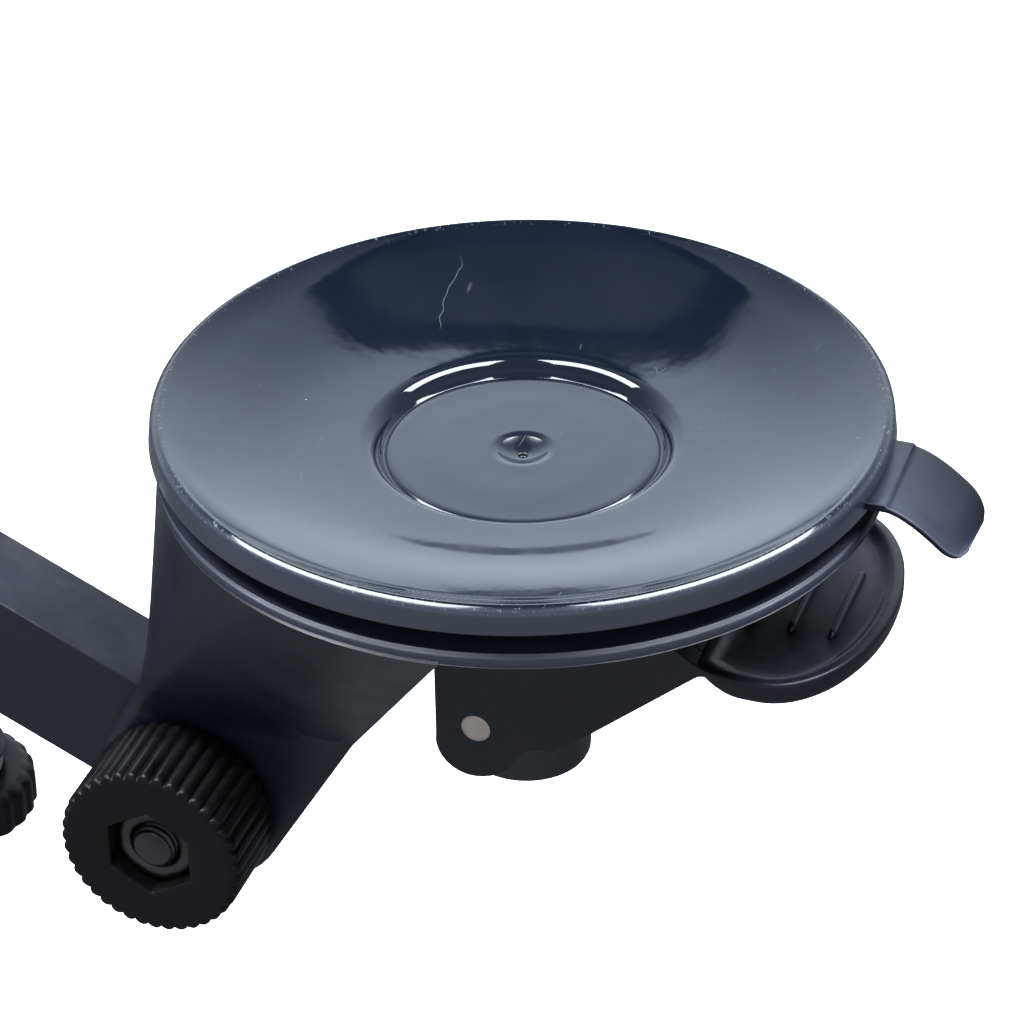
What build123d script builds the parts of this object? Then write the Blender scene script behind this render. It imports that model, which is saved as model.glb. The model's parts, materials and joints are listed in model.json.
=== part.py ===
from build123d import *
import math
import os

# Suction mount for a dash camera, in millimetres.
# Origin: centre of the suction cup's lip, in the plane where it meets the glass.
# +Z is out of the cup, towards the glass. +X is the way the lever points.
# The bracket arm reaches down and back, towards -X and -Z.

# ---------------------------------------------------------------- driving dimensions
# suction cup
lip_radius = 35.0            # crest of the sealing lip
lip_bevel = 0.35             # bevel outside the crest
wall_flare = 1.0             # the wall is this much wider at its foot than at the crest
wall_height = 2.8
wall_foot_bevel = 0.3
lip_band = 3.0               # width of the soft band inside the crest
lip_band_drop = 0.85
lip_sag = 0.22               # the soft band hangs this far under the crest, near its outer edge
cup_depth = 5.7              # crest to the flat centre disc, lever locked
disc_radius = 13.3
groove_width = 0.55
groove_depth = 0.3
shoulder_rise = 1.35         # step from the disc up to the dish
shoulder_width = 1.7
cup_web = 2.0                # thickness of the dish
dish_sag = 0.7               # how far the dish hangs below a straight cone
gate_radius = 2.4
gate_depth = 1.1
gate_pin_radius = 0.4
gate_pin_depth = 0.3
hub_radius = 14.6
hub_lip = 0.8                # rubber that wraps under the stem's plate
hub_opening = 9.4
hub_collar = 1.2             # size of the cone between the dish and the hub
under_step = 1.2             # width of the cone under the lip

# pull tab
tab_width = 11.2
tab_reach = 9.4              # beyond the cup's wall
tab_thickness = 1.0
tab_root = 1.5               # thicker root before the step
tab_top = 1.0                # top of the root, below the glass plane
tab_step = 0.3
tab_droop = 6.2
tab_corner = 2.8
tab_bend = 0.33              # share of the droop reached about halfway

# pull stem
stem_radius = 6.5
stem_plate_radius = 12.6
stem_plate_thickness = 1.8
stem_tail = 12.7             # below the lever pin
stem_edge = 0.6

# base shell
flange_radius = 35.45
flange_gap = 2.05            # open gap between the cup's wall and the flange
flange_height = 1.9
flange_edge = 0.25           # bevels of the flange's rim
press_ring_radius = 31.0     # the ring that bears on the back of the cup
press_ring_width = 1.2
press_ring_gap = 0.35
shell_wall = 2.2
press_ring_foot = 0.5        # the ring's walls spread this much
bowl_drop = 3.3              # the bowl falls this far from the flange to the hub pocket
bowl_corner = 1.0            # width of the cone between the bowl and the hub pocket
hub_clearance = 0.6
boss_radius = 12.2
boss_foot = 21.4             # below the glass plane
pocket_radius = 9.2          # spring pocket
guide_length = 2.0
slide_clearance = 0.06

# return spring and its seat
seat_thickness = 0.4
spring_wire = 0.9
spring_turns = 5
spring_radius = 7.9
seat_clearance = 0.2

# lever and its pin
pin_depth = 28.8             # pin axis below the glass plane
pin_radius = 1.55
pin_proud = 0.15
pin_clearance = 0.05
lever_width = 30.0
cheek_thickness = 2.4
cam_radius = 5.2
cam_offset = 1.84            # centre of the round cam from the pin
cam_gap = 0.1
cam_plate_thickness = 0.8
hub_side_gap = 0.5           # between the stem and each cam
cheek_corner = 3.0           # bevel at the cheek's upper back corner
lobe_radius = 5.9            # round of the cheek under the pin
cheek_back = 4.2             # straight back edge of the cheek, from the pin
cheek_top = 14.6             # height of the cheek above the pin
notch_x = 7.8                # corner where the cheek's lower edge starts to rise
notch_drop = 1.2
notch_x_start = 4.6          # the lobe's round ends here, under the notch
notch_start_drop = 2.4
fork_gap = 0.5               # between the stem's tail and the lever as it swings
pad_centre = 28.4
pad_reach = 9.2              # from the pad's centre to its tip
pad_half_width = 16.0
pad_top = 16.5               # below the glass plane
pad_thickness = 2.6
pad_root = 6.6               # the cheeks and the web meet the pad this far behind its centre
pad_root_rise = 0.3
pad_edge = 0.7
pad_dish_slope = 30.0        # degrees
shoulder_run = 3.0           # the cheek's top slopes down to the pad over this length
dish_depth = 0.8
pad_rim = 1.3
rib_pitch = 4.0
first_rib = 4.4              # from the pad's centre towards its tip
rib_count = 3
rib_length = 11.6
rib_width = 0.8
rib_height = 0.7
web_thickness = 2.2
pin_edge = 0.12

# bracket arm
hinge_x = -34.4
hinge_depth = 50.0
ear_radius = 10.6
arm_half_width = 8.0         # outside of the ears
arm_mouth = 4.0              # the arm's open side starts here under the flange
arm_corner_angle = 126.0     # where the side wall turns into the end wall
arm_corner_span = 6.0        # degrees of the rim, each way, that run down into the rounded corner
arm_corner_round = 1.6       # radius of that corner at the ears
arm_inner_round = 0.4
arm_lean = 0.59              # how far the arm leans back for each millimetre down
flange_step = 0.15           # the arm's wall lies this far inside the flange's edge
end_wall_foot = 36.5         # the end wall stops here, so that the link can swing
arm_opening = 12.0           # the hollow runs this far past the arm's open side
inner_rib_thickness = 1.6
inner_rib_place = 10.5
inner_rib_front = -16.0
inner_rib_reach = 24.0
inner_rib_height = 22.0

# tilt joint
bolt_radius = 2.5
bolt_hole_clearance = 0.1
bolt_head_radius = 4.6
bolt_head_height = 2.6
bolt_recess = 0.9            # the bolt's end lies this far under the knob's face
bolt_end_bevel = 0.5
washer_radius = 5.2
washer_thickness = 0.8
disc_thickness = 0.8
disc_outer = 6.4
side_play = 0.05
knob_radius = 9.85
knob_length = 9.8
knob_lobes = 40
lobe_size = 0.45
knob_edge = 0.4
nut_across_flats = 8.0
nut_thickness = 4.0
nut_recess_play = 0.3
nut_below_face = 1.6
nut_corner = 0.575           # radius of the nut's chamfer cone, in widths across flats
nut_bevel = 0.5
knob_relief_depth = 2.4
knob_relief_wall = 1.6
knob_relief_seat = 0.6
cap_radius = 7.2
cap_wall = 1.2
cap_round = 1.0
cap_play = 0.2

# link
link_half_height = 6.8
link_rise = 25.0             # degrees above level
swivel_x = -66.3
socket_radius = 7.2
socket_length = 12.4

# swivel post, camera screw and thumb nut
post_radius = 3.0
neck_radius = 4.6
neck_cone = 1.6
swivel_washer_thickness = 0.5
swivel_washer_inset = 0.6
washer_play = 0.1
post_foot_radius = 6.2
post_foot_height = 2.4
post_foot_bevel = 0.5
post_foot_depth = 59.0       # underside of the foot, below the glass plane
screw_radius = 1.5
screw_length = 8.0
screw_head_radius = 2.9
screw_head_height = 1.9
screw_head_round = 0.8
cross_length = 2.8
cross_width = 0.7
cross_depth = 1.1
cap_washer_radius = 5.2
stud_radius = 3.175          # quarter inch camera thread
stud_neck = 2.9              # plain shaft inside the nut and the post
stud_neck_gap = 0.2          # the full thread starts this far under the camera pad
stud_root = 4.0              # buried in the post
stud_tip = 72.0
stud_tip_bevel = 0.6
nut_radius = 9.0
thumb_nut_height = 4.6
thumb_nut_gap = 0.5
thumb_nut_lobes = 24
scallop_radius = 1.2
scallop_centre = 0.9         # outside the nut's edge
thumb_nut_bevel = 0.9
camera_pad_thickness = 0.8
camera_pad_inset = 1.2
camera_pad_hole = 0.3        # play around the stud

# ---------------------------------------------------------------- places worked out
pin_z = -pin_depth
hinge_z = -hinge_depth
disc_z = -cup_depth
plate_top = disc_z - cup_web
plate_bottom = plate_top - stem_plate_thickness
hub_bottom = plate_bottom - hub_lip
flange_top = -wall_height - flange_gap
flange_bottom = flange_top - flange_height
hub_pocket_floor = hub_bottom - hub_clearance
hub_pocket_radius = hub_radius + hub_clearance
seat_z = -boss_foot + guide_length
seat_top = seat_z + seat_thickness
bore_radius = stem_radius + slide_clearance
cam_face = -boss_foot - cam_plate_thickness - cam_gap
cheek_out = lever_width / 2
cheek_in = cheek_out - cheek_thickness
hub_in = stem_radius + hub_side_gap
ear_in = arm_half_width - shell_wall
pad_bottom = -pad_top - pad_thickness
link_half_width = ear_in - disc_thickness - 2 * side_play
knob_back = arm_half_width + washer_thickness
knob_face = knob_back + knob_length
ear_top = hinge_z + ear_radius
swivel_z = hinge_z + math.tan(math.radians(link_rise)) * (hinge_x - swivel_x)
socket_top = swivel_z + socket_length / 2
socket_foot = swivel_z - socket_length / 2
pad_seat_z = -post_foot_depth - thumb_nut_gap - thumb_nut_height
pad_low = pad_seat_z - camera_pad_thickness / 2


def turned(points):
    """A solid of revolution about Z from an outline of (radius, height) points."""
    outline = make_face(Polyline(*points, close=True))
    return revolve(Plane.XZ * outline, Axis.Z)


def ring(outer, inner, low, high):
    """A plain ring about Z between two heights."""
    return turned([(inner, low), (outer, low), (outer, high), (inner, high)])


def rod(radius, low, high, x=0.0):
    """A cylinder along Z between two heights."""
    return Pos(x, 0, low) * extrude(Circle(radius), high - low)


def cross_rod(radius, start, end, x, z):
    """A cylinder along Y between two places."""
    place = Plane((x, start, z), x_dir=(1, 0, 0), z_dir=(0, 1, 0))
    return place * extrude(Circle(radius), end - start)


def side_plate(sketch, start, end):
    """A sketch in the XZ plane made thick along Y between two places."""
    return Pos(0, end, 0) * extrude(Plane.XZ * sketch, end - start)


def along_y(sketch, start, end):
    """A sketch centred on the tilt axis, made thick along Y."""
    return side_plate(Pos(hinge_x, hinge_z) * sketch, start, end)


# ---------------------------------------------------------------- suction cup
def suction_cup():
    crest = lip_radius
    foot = crest + wall_flare
    gate_floor = disc_z - gate_depth
    gate_tip = gate_floor - gate_pin_depth
    dish_out = (crest - lip_band, -lip_band_drop)
    step_r = disc_radius + groove_width
    shoulder_top = (step_r + shoulder_width, disc_z + shoulder_rise)
    under_out = (dish_out[0] - under_step / 2, dish_out[1] - cup_web)
    under_in = (hub_radius + hub_collar, shoulder_top[1] - cup_web)
    bevel_foot = (crest + lip_bevel, -lip_bevel)
    wall_foot = (foot, -wall_height + wall_foot_bevel)

    def sagged(a, b):
        return ((a[0] + b[0]) / 2, (a[1] + b[1]) / 2 - dish_sag)

    lines = [
        Line((0, gate_tip), (gate_pin_radius, gate_tip)),
        Line((gate_pin_radius, gate_tip), (gate_pin_radius, gate_floor)),
        Line((gate_pin_radius, gate_floor), (gate_radius, disc_z)),
        Line((gate_radius, disc_z), (disc_radius, disc_z)),
        ThreePointArc(
            (disc_radius, disc_z),
            (disc_radius + groove_width / 2, disc_z - groove_depth),
            (step_r, disc_z),
        ),
        ThreePointArc(
            (step_r, disc_z),
            (step_r + 0.3 * shoulder_width, disc_z + 0.7 * shoulder_rise),
            shoulder_top,
        ),
        ThreePointArc(shoulder_top, sagged(shoulder_top, dish_out), dish_out),
        ThreePointArc(dish_out, (crest - 0.4 * lip_band, -lip_sag), (crest, 0)),
        Line((crest, 0), bevel_foot),
        Line(bevel_foot, wall_foot),
        Line(wall_foot, (foot - wall_foot_bevel, -wall_height)),
        Line((foot - wall_foot_bevel, -wall_height), (under_out[0] + under_step, -wall_height)),
        Line((under_out[0] + under_step, -wall_height), under_out),
        ThreePointArc(under_out, sagged(under_out, under_in), under_in),
        Line(under_in, (hub_radius, under_in[1] - hub_collar)),
        Line((hub_radius, under_in[1] - hub_collar), (hub_radius, hub_bottom)),
        Line((hub_radius, hub_bottom), (hub_opening, hub_bottom)),
        Line((hub_opening, hub_bottom), (hub_opening, plate_bottom)),
        Line((hub_opening, plate_bottom), (stem_plate_radius, plate_bottom)),
        Line((stem_plate_radius, plate_bottom), (stem_plate_radius, plate_top)),
        Line((stem_plate_radius, plate_top), (0, plate_top)),
        Line((0, plate_top), (0, gate_tip)),
    ]
    body = revolve(Plane.XZ * make_face(Curve() + lines), Axis.Z)
    return body + pull_tab()


def pull_tab():
    """A thin tongue that leaves the wall level and then curls down and away."""
    start = lip_radius
    step = lip_radius + wall_flare + tab_root
    end = lip_radius + wall_flare + tab_reach
    top = -tab_top
    under = top - tab_step - tab_thickness
    half_way = top - tab_bend * tab_droop
    tip = (end, top - tab_droop)
    tip_under = (end - 0.8 * tab_thickness, tip[1] - 0.6 * tab_thickness)
    strip = side_plate(make_face(Curve() + [
        Line((start, top), (step, top)),
        Line((step, top), (step, top - tab_step)),
        ThreePointArc((step, top - tab_step), (step + 0.55 * (end - step), half_way), tip),
        Line(tip, tip_under),
        ThreePointArc(tip_under, (step + 0.42 * (end - step), half_way - tab_thickness), (step, under)),
        Line((step, under), (start, under)),
        Line((start, under), (start, top)),
    ]), -tab_width / 2, tab_width / 2)
    plan = RectangleRounded(2 * (end - start), tab_width, tab_corner)
    return strip & (Pos(start, 0, -2 * tab_droop) * extrude(plan, 3 * tab_droop))


# ---------------------------------------------------------------- stem, spring, cam plate
def pull_stem():
    tail = pin_z - stem_tail
    body = turned([
        (0, tail),
        (stem_radius - stem_edge, tail),
        (stem_radius, tail + stem_edge),
        (stem_radius, plate_bottom),
        (stem_plate_radius, plate_bottom),
        (stem_plate_radius, plate_top),
        (0, plate_top),
    ])
    return body - cross_rod(pin_radius + pin_clearance, -stem_radius, stem_radius, 0, pin_z)


def return_spring():
    low = seat_top + seat_clearance + spring_wire / 2
    high = plate_bottom - seat_clearance - spring_wire / 2
    height = high - low
    path = Pos(0, 0, low) * Helix(pitch=height / spring_turns, height=height, radius=spring_radius)
    start = Plane(path @ 0, z_dir=path % 0)
    return sweep(start * Circle(spring_wire / 2), path=path, is_frenet=True)


def spring_seat():
    return ring(pocket_radius - seat_clearance, stem_radius + 2 * seat_clearance, seat_z, seat_top)


def cam_plate():
    return ring(boss_radius - seat_clearance, stem_radius + 2 * seat_clearance,
                -boss_foot - cam_plate_thickness, -boss_foot)


# ---------------------------------------------------------------- base shell
def base_bowl():
    """Flange, press ring, bowl and guide boss, turned about Z."""
    ring_in = press_ring_radius - press_ring_width / 2
    ring_out = press_ring_radius + press_ring_width / 2
    ring_top = -lip_band_drop - cup_web - press_ring_gap
    bowl_z = flange_top - bowl_drop
    edge = flange_edge
    spread = press_ring_foot
    return turned([
        (flange_radius - edge, flange_top),
        (ring_out + spread, flange_top),
        (ring_out, ring_top),
        (ring_in, ring_top - spread / 2),
        (ring_in - spread, flange_top - spread),
        (hub_pocket_radius + bowl_corner, bowl_z),
        (hub_pocket_radius, hub_pocket_floor),
        (pocket_radius, hub_pocket_floor),
        (pocket_radius, seat_z),
        (bore_radius, seat_z),
        (bore_radius, -boss_foot),
        (boss_radius, -boss_foot),
        (boss_radius, hub_pocket_floor - shell_wall),
        (hub_pocket_radius + shell_wall / 2, hub_pocket_floor - shell_wall),
        (hub_pocket_radius + shell_wall / 2 + bowl_corner, bowl_z - shell_wall),
        (ring_in, flange_bottom - spread),
        (ring_out + 2 * spread, flange_bottom),
        (flange_radius - edge, flange_bottom),
        (flange_radius, flange_bottom + edge),
        (flange_radius, flange_top - edge),
    ])


def arm_block(inset, mouth):
    """The arm's form down to the ears: a flange-shaped sector that narrows to a slim rectangle."""
    radius = flange_radius - flange_step - inset
    mouth_angle = math.degrees(math.acos(mouth / radius))
    corner_start = arm_corner_angle - arm_corner_span
    corner_end = arm_corner_angle + arm_corner_span

    def rim(angle):
        return (radius * math.cos(math.radians(angle)), radius * math.sin(math.radians(angle)))

    def rim_arc(start, end):
        return ThreePointArc(rim(start), rim((start + end) / 2), rim(end))

    upper = make_face(Curve() + [
        Line(rim(mouth_angle), rim(-mouth_angle)),
        rim_arc(-mouth_angle, -corner_start),
        rim_arc(-corner_start, -corner_end),
        rim_arc(-corner_end, corner_end - 360),
        rim_arc(corner_end, corner_start),
        rim_arc(corner_start, mouth_angle),
    ])
    left = ear_edge(ear_top, -1) + inset
    right = ear_edge(ear_top, 1) + (mouth - arm_mouth)
    half = arm_half_width - inset
    turn = max(arm_corner_round - inset, arm_inner_round)
    turn_x = turn * math.hypot(1, arm_lean)
    lower = make_face(Curve() + [
        Line((right, half), (right, -half)),
        Line((right, -half), (left + turn_x, -half)),
        EllipticalCenterArc((left + turn_x, turn - half), turn_x, turn, start_angle=180, arc_size=90),
        Line((left, turn - half), (left, half - turn)),
        EllipticalCenterArc((left + turn_x, half - turn), turn_x, turn, start_angle=90, arc_size=90),
        Line((left + turn_x, half), (right, half)),
    ])
    return loft([Pos(0, 0, flange_bottom) * upper, Pos(0, 0, ear_top) * lower], ruled=True)


def ear_edge(z, side):
    """X of the arm's leaning edge at a height: side is -1 at the back and 1 at the front."""
    return hinge_x + arm_lean * (z - hinge_z) + side * ear_radius * math.hypot(1, arm_lean)


def ear_outline():
    """The ear seen from the side: the leaning edges run on and touch the round of the hinge."""
    reach = ear_radius / math.hypot(1, arm_lean)
    cheek = make_face(Polyline(
        (ear_edge(ear_top, -1), ear_top),
        (ear_edge(ear_top, 1), ear_top),
        (hinge_x + reach, hinge_z - arm_lean * reach),
        (hinge_x - reach, hinge_z + arm_lean * reach),
        close=True,
    ))
    return cheek + Pos(hinge_x, hinge_z) * Circle(ear_radius)


def bracket_arm():
    outer = arm_block(0, arm_mouth)
    inner = arm_block(shell_wall, arm_mouth + arm_opening)
    ear = side_plate(ear_outline(), ear_in, arm_half_width)
    outer_edges = ear.edges().group_by(Axis.Y)[-1]
    ear = fillet(outer_edges.filter_by(lambda e: e.center().Z < ear_top - 1), arm_corner_round)
    ears = [ear, mirror(ear, Plane.XZ)]
    slot_height = hinge_depth - end_wall_foot
    slot = Pos(hinge_x, 0, -end_wall_foot - slot_height / 2) * Box(4 * ear_radius, 2 * ear_in, slot_height)
    rib_middle = (inner_rib_front - inner_rib_reach / 2, flange_bottom - inner_rib_height / 2)
    rib_sketch = Pos(*rib_middle) * Rectangle(inner_rib_reach, inner_rib_height)
    ribs = [
        side_plate(rib_sketch, y - inner_rib_thickness / 2, y + inner_rib_thickness / 2)
        for y in (-inner_rib_place, inner_rib_place)
    ]
    arm = (outer - inner) + ears - slot + [rib & outer for rib in ribs]
    bolt_hole = bolt_radius + bolt_hole_clearance
    return arm - cross_rod(bolt_hole, -arm_half_width, arm_half_width, hinge_x, hinge_z)


def base_shell():
    return base_bowl() + bracket_arm()


# ---------------------------------------------------------------- lever
def cheek_outline():
    """Side of the lever: a round under the pin, a notch, and an edge that rises to the pad."""
    low = pin_z - lobe_radius
    edge_top = pin_z + cheek_top
    back_foot = (-cheek_back, pin_z - lobe_radius / 4)
    back_top = (-cheek_back, edge_top - cheek_corner)
    lobe_foot = (0, low)
    lobe_end = (notch_x_start, pin_z - notch_start_drop)
    corner = (notch_x, pin_z - notch_drop)
    notch_middle = ((lobe_end[0] + corner[0]) / 2, (lobe_end[1] + 3 * corner[1]) / 4)
    pad_start = pad_centre - pad_root
    rise_end = (pad_start, pad_bottom + pad_root_rise)
    return make_face(Curve() + [
        Line(back_top, back_foot),
        ThreePointArc(back_foot, (-0.55 * lobe_radius, pin_z - 0.8 * lobe_radius), lobe_foot),
        ThreePointArc(lobe_foot, (0.5 * lobe_radius, pin_z - 0.78 * lobe_radius), lobe_end),
        ThreePointArc(lobe_end, notch_middle, corner),
        Line(corner, rise_end),
        Line(rise_end, (pad_centre, pad_bottom)),
        Line((pad_centre, pad_bottom), (pad_centre, -pad_top)),
        Line((pad_centre, -pad_top), (pad_start, -pad_top + pad_root_rise)),
        Line((pad_start, -pad_top + pad_root_rise), (pad_start - shoulder_run, edge_top)),
        Line((pad_start - shoulder_run, edge_top), (cheek_corner - cheek_back, edge_top)),
        Line((cheek_corner - cheek_back, edge_top), back_top),
    ])


def pad_plan(inset):
    """The thumb pad seen from above: straight sides that end in half an ellipse."""
    tip = Pos(pad_centre, 0) * Ellipse(pad_reach - inset, pad_half_width - inset)
    root = Pos(pad_centre - pad_root / 2, 0) * Rectangle(pad_root, 2 * (pad_half_width - inset))
    return tip + root


def lever():
    swing = math.hypot(stem_radius, stem_tail) + fork_gap
    cheeks = [
        side_plate(cheek_outline(), cheek_in, cheek_out),
        side_plate(cheek_outline(), -cheek_out, -cheek_in),
    ]
    shift = cam_offset / math.sqrt(2)
    cam = Pos(shift, cam_face - cam_radius) * Circle(cam_radius)
    cams = [side_plate(cam, hub_in, cheek_in), side_plate(cam, -cheek_in, -hub_in)]
    web_start = (notch_x, pin_z - notch_drop)
    web_end = (pad_centre - pad_root, pad_bottom + pad_root_rise)
    web_side = make_face(Polyline(
        web_start,
        web_end,
        (web_end[0], web_end[1] + web_thickness),
        (web_start[0], web_start[1] + web_thickness),
        close=True,
    ))
    web = side_plate(web_side, -cheek_in, cheek_in)
    pad = Pos(0, 0, pad_bottom) * extrude(pad_plan(0), pad_thickness)
    pad = fillet(pad.edges().group_by(Axis.Z)[0], pad_edge)
    dish = extrude(pad_plan(pad_rim), 2 * dish_depth, taper=-pad_dish_slope)
    pad -= Pos(0, 0, -pad_top - dish_depth) * dish
    ribs = [
        Pos(pad_centre + first_rib - i * rib_pitch, 0, -pad_top - dish_depth)
        * extrude(SlotOverall(rib_length, rib_width, rotation=90), rib_height)
        for i in range(rib_count)
    ]
    clear_stem = cross_rod(swing, -hub_in, hub_in, 0, pin_z)
    body = pad + cheeks + cams + web + ribs
    body -= clear_stem
    return body - cross_rod(pin_radius, -cheek_out, cheek_out, 0, pin_z)


def lever_pin():
    half = cheek_out + pin_proud
    pin = cross_rod(pin_radius, -half, half, 0, pin_z)
    return chamfer(pin.edges().filter_by(GeomType.CIRCLE), pin_edge)


# ---------------------------------------------------------------- tilt joint
def tilt_bolt():
    shank = cross_rod(bolt_radius, bolt_recess - knob_face, knob_back, hinge_x, hinge_z)
    shank = chamfer(shank.edges().group_by(Axis.Y)[0], bolt_end_bevel)
    return shank + along_y(Circle(bolt_head_radius), knob_back, knob_back + bolt_head_height)


def tilt_washers():
    sketch = Circle(washer_radius) - Circle(bolt_radius + bolt_hole_clearance)
    near = along_y(sketch, -knob_back, -arm_half_width)
    far = along_y(sketch, arm_half_width, knob_back)
    return near, far


def bolt_cap():
    inside = knob_back + bolt_head_height + cap_play
    cap = along_y(Circle(cap_radius), arm_half_width, inside + cap_wall)
    cap = fillet(cap.edges().group_by(Axis.Y)[-1], cap_round)
    return cap - along_y(Circle(washer_radius + cap_play), arm_half_width, inside)


def friction_discs():
    sketch = Circle(disc_outer) - Circle(bolt_radius + bolt_hole_clearance)
    inner = link_half_width + side_play
    return Compound(children=[
        along_y(sketch, -inner - disc_thickness, -inner),
        along_y(sketch, inner, inner + disc_thickness),
    ])


def hexagon(across_flats):
    """A hexagon with flats facing along X."""
    return RegularPolygon(across_flats / 2, 6, major_radius=False, rotation=30)


def tilt_knob():
    core = knob_radius - lobe_size
    grip = Circle(core) + PolarLocations(core, knob_lobes) * Circle(lobe_size)
    knob = along_y(grip, -knob_face, -knob_back)
    trim = along_y(Circle(knob_radius + pin_clearance), -knob_face, -knob_back)
    knob &= chamfer(trim.edges().group_by(Axis.Y)[0], knob_edge)
    nut_back = knob_face - nut_below_face - nut_thickness
    knob -= along_y(hexagon(nut_across_flats + 2 * nut_recess_play), -knob_face, -nut_back)
    knob -= along_y(Circle(bolt_radius + 2 * bolt_hole_clearance), -knob_face, -knob_back)
    relief = Circle(core - knob_relief_wall) - Circle(washer_radius + knob_relief_seat)
    return knob - along_y(relief, -knob_back - knob_relief_depth, -knob_back)


def knob_nut():
    front = -knob_face + nut_below_face
    nut = along_y(hexagon(nut_across_flats), front, front + nut_thickness)
    cone = along_y(Circle(nut_across_flats * nut_corner), front, front + nut_thickness)
    nut &= chamfer(cone.edges().filter_by(GeomType.CIRCLE), nut_bevel)
    return nut - along_y(Circle(bolt_radius + bolt_hole_clearance), front, front + nut_thickness)


# ---------------------------------------------------------------- link
def link_arm():
    reach = math.hypot(hinge_x - swivel_x, swivel_z - hinge_z)
    bar = Rot(0, 0, 180 - link_rise) * (
        Pos(reach / 2, 0) * Rectangle(reach, 2 * link_half_height) + Circle(link_half_height)
    )
    body = along_y(bar, -link_half_width, link_half_width)
    socket = rod(socket_radius, socket_foot, socket_top, swivel_x)
    body = (body - rod(socket_radius, hinge_z, 0, swivel_x)) + socket
    beyond = 2 * socket_length
    body -= Pos(swivel_x - beyond / 2, 0, swivel_z) * Box(beyond, beyond, beyond) - socket
    body -= rod(post_radius + pin_clearance, socket_foot, socket_top, swivel_x)
    bore = bolt_radius + pin_clearance
    return body - cross_rod(bore, -link_half_width, link_half_width, hinge_x, hinge_z)


# ---------------------------------------------------------------- swivel, camera screw, thumb nut
def swivel_post():
    washer_foot = socket_foot - swivel_washer_thickness
    foot = -post_foot_depth
    post = turned([
        (0, foot),
        (post_foot_radius - post_foot_bevel, foot),
        (post_foot_radius, foot + post_foot_bevel),
        (post_foot_radius, foot + post_foot_height),
        (neck_radius, foot + post_foot_height + neck_cone),
        (neck_radius, washer_foot),
        (post_radius, washer_foot),
        (post_radius, socket_top),
        (0, socket_top),
    ])
    post = Pos(swivel_x, 0, 0) * post
    post -= rod(screw_radius, socket_top - screw_length, socket_top, swivel_x)
    return post - rod(stud_neck, foot, foot + stud_root, swivel_x)


def swivel_washer():
    outer = socket_radius - swivel_washer_inset
    low = socket_foot - swivel_washer_thickness
    return Pos(swivel_x, 0, 0) * ring(outer, post_radius + washer_play, low, socket_foot)


def cap_washer():
    inner = screw_radius + washer_play
    high = socket_top + swivel_washer_thickness
    return Pos(swivel_x, 0, 0) * ring(cap_washer_radius, inner, socket_top, high)


def swivel_screw():
    seat = socket_top + swivel_washer_thickness
    head = rod(screw_head_radius, seat, seat + screw_head_height, swivel_x)
    head = fillet(head.edges().group_by(Axis.Z)[-1], screw_head_round)
    cross = Rectangle(cross_length, cross_width) + Rectangle(cross_width, cross_length)
    head -= Pos(swivel_x, 0, seat + screw_head_height - cross_depth) * extrude(cross, 2 * cross_depth)
    return head + rod(screw_radius, socket_top - screw_length, seat, swivel_x)


def camera_stud():
    shoulder = pad_low - stud_neck_gap
    thread = rod(stud_radius, -stud_tip, shoulder, swivel_x)
    thread = chamfer(thread.edges().group_by(Axis.Z)[0], stud_tip_bevel)
    return thread + rod(stud_neck, shoulder, -post_foot_depth + stud_root, swivel_x)


def thumb_nut():
    top = pad_seat_z + thumb_nut_height
    low = pad_seat_z
    scallops = PolarLocations(nut_radius + scallop_centre, thumb_nut_lobes) * Circle(scallop_radius)
    nut = Pos(swivel_x, 0, low) * extrude(Circle(nut_radius) - scallops, thumb_nut_height)
    trim = rod(nut_radius, low, top, swivel_x)
    nut &= chamfer(trim.edges().group_by(Axis.Z)[-1], thumb_nut_bevel)
    nut -= rod(nut_radius - camera_pad_inset, low, low + camera_pad_thickness / 2, swivel_x)
    return nut - rod(stud_neck + pin_clearance, low, top, swivel_x)


def camera_pad():
    outer = nut_radius - camera_pad_inset
    inner = stud_radius + camera_pad_hole
    return Pos(swivel_x, 0, 0) * ring(outer, inner, pad_low, pad_low + camera_pad_thickness)


# ---------------------------------------------------------------- write the parts
near_washer, far_washer = tilt_washers()
nodes = {
    "suction_cup": suction_cup(),
    "pull_stem": pull_stem(),
    "return_spring": return_spring(),
    "spring_seat": spring_seat(),
    "base_shell": base_shell(),
    "cam_plate": cam_plate(),
    "lever": lever(),
    "lever_pin": lever_pin(),
    "tilt_bolt": tilt_bolt(),
    "near_washer": near_washer,
    "far_washer": far_washer,
    "bolt_cap": bolt_cap(),
    "friction_discs": friction_discs(),
    "tilt_knob": tilt_knob(),
    "knob_nut": knob_nut(),
    "link_arm": link_arm(),
    "swivel_post": swivel_post(),
    "swivel_washer": swivel_washer(),
    "cap_washer": cap_washer(),
    "swivel_screw": swivel_screw(),
    "camera_stud": camera_stud(),
    "thumb_nut": thumb_nut(),
    "camera_pad": camera_pad(),
}

os.makedirs("parts", exist_ok=True)
for name, piece in nodes.items():
    export_step(piece, f"parts/{name}.step")
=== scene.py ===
import json
import math

import bmesh
import bpy
from mathutils import Matrix, Vector


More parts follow.
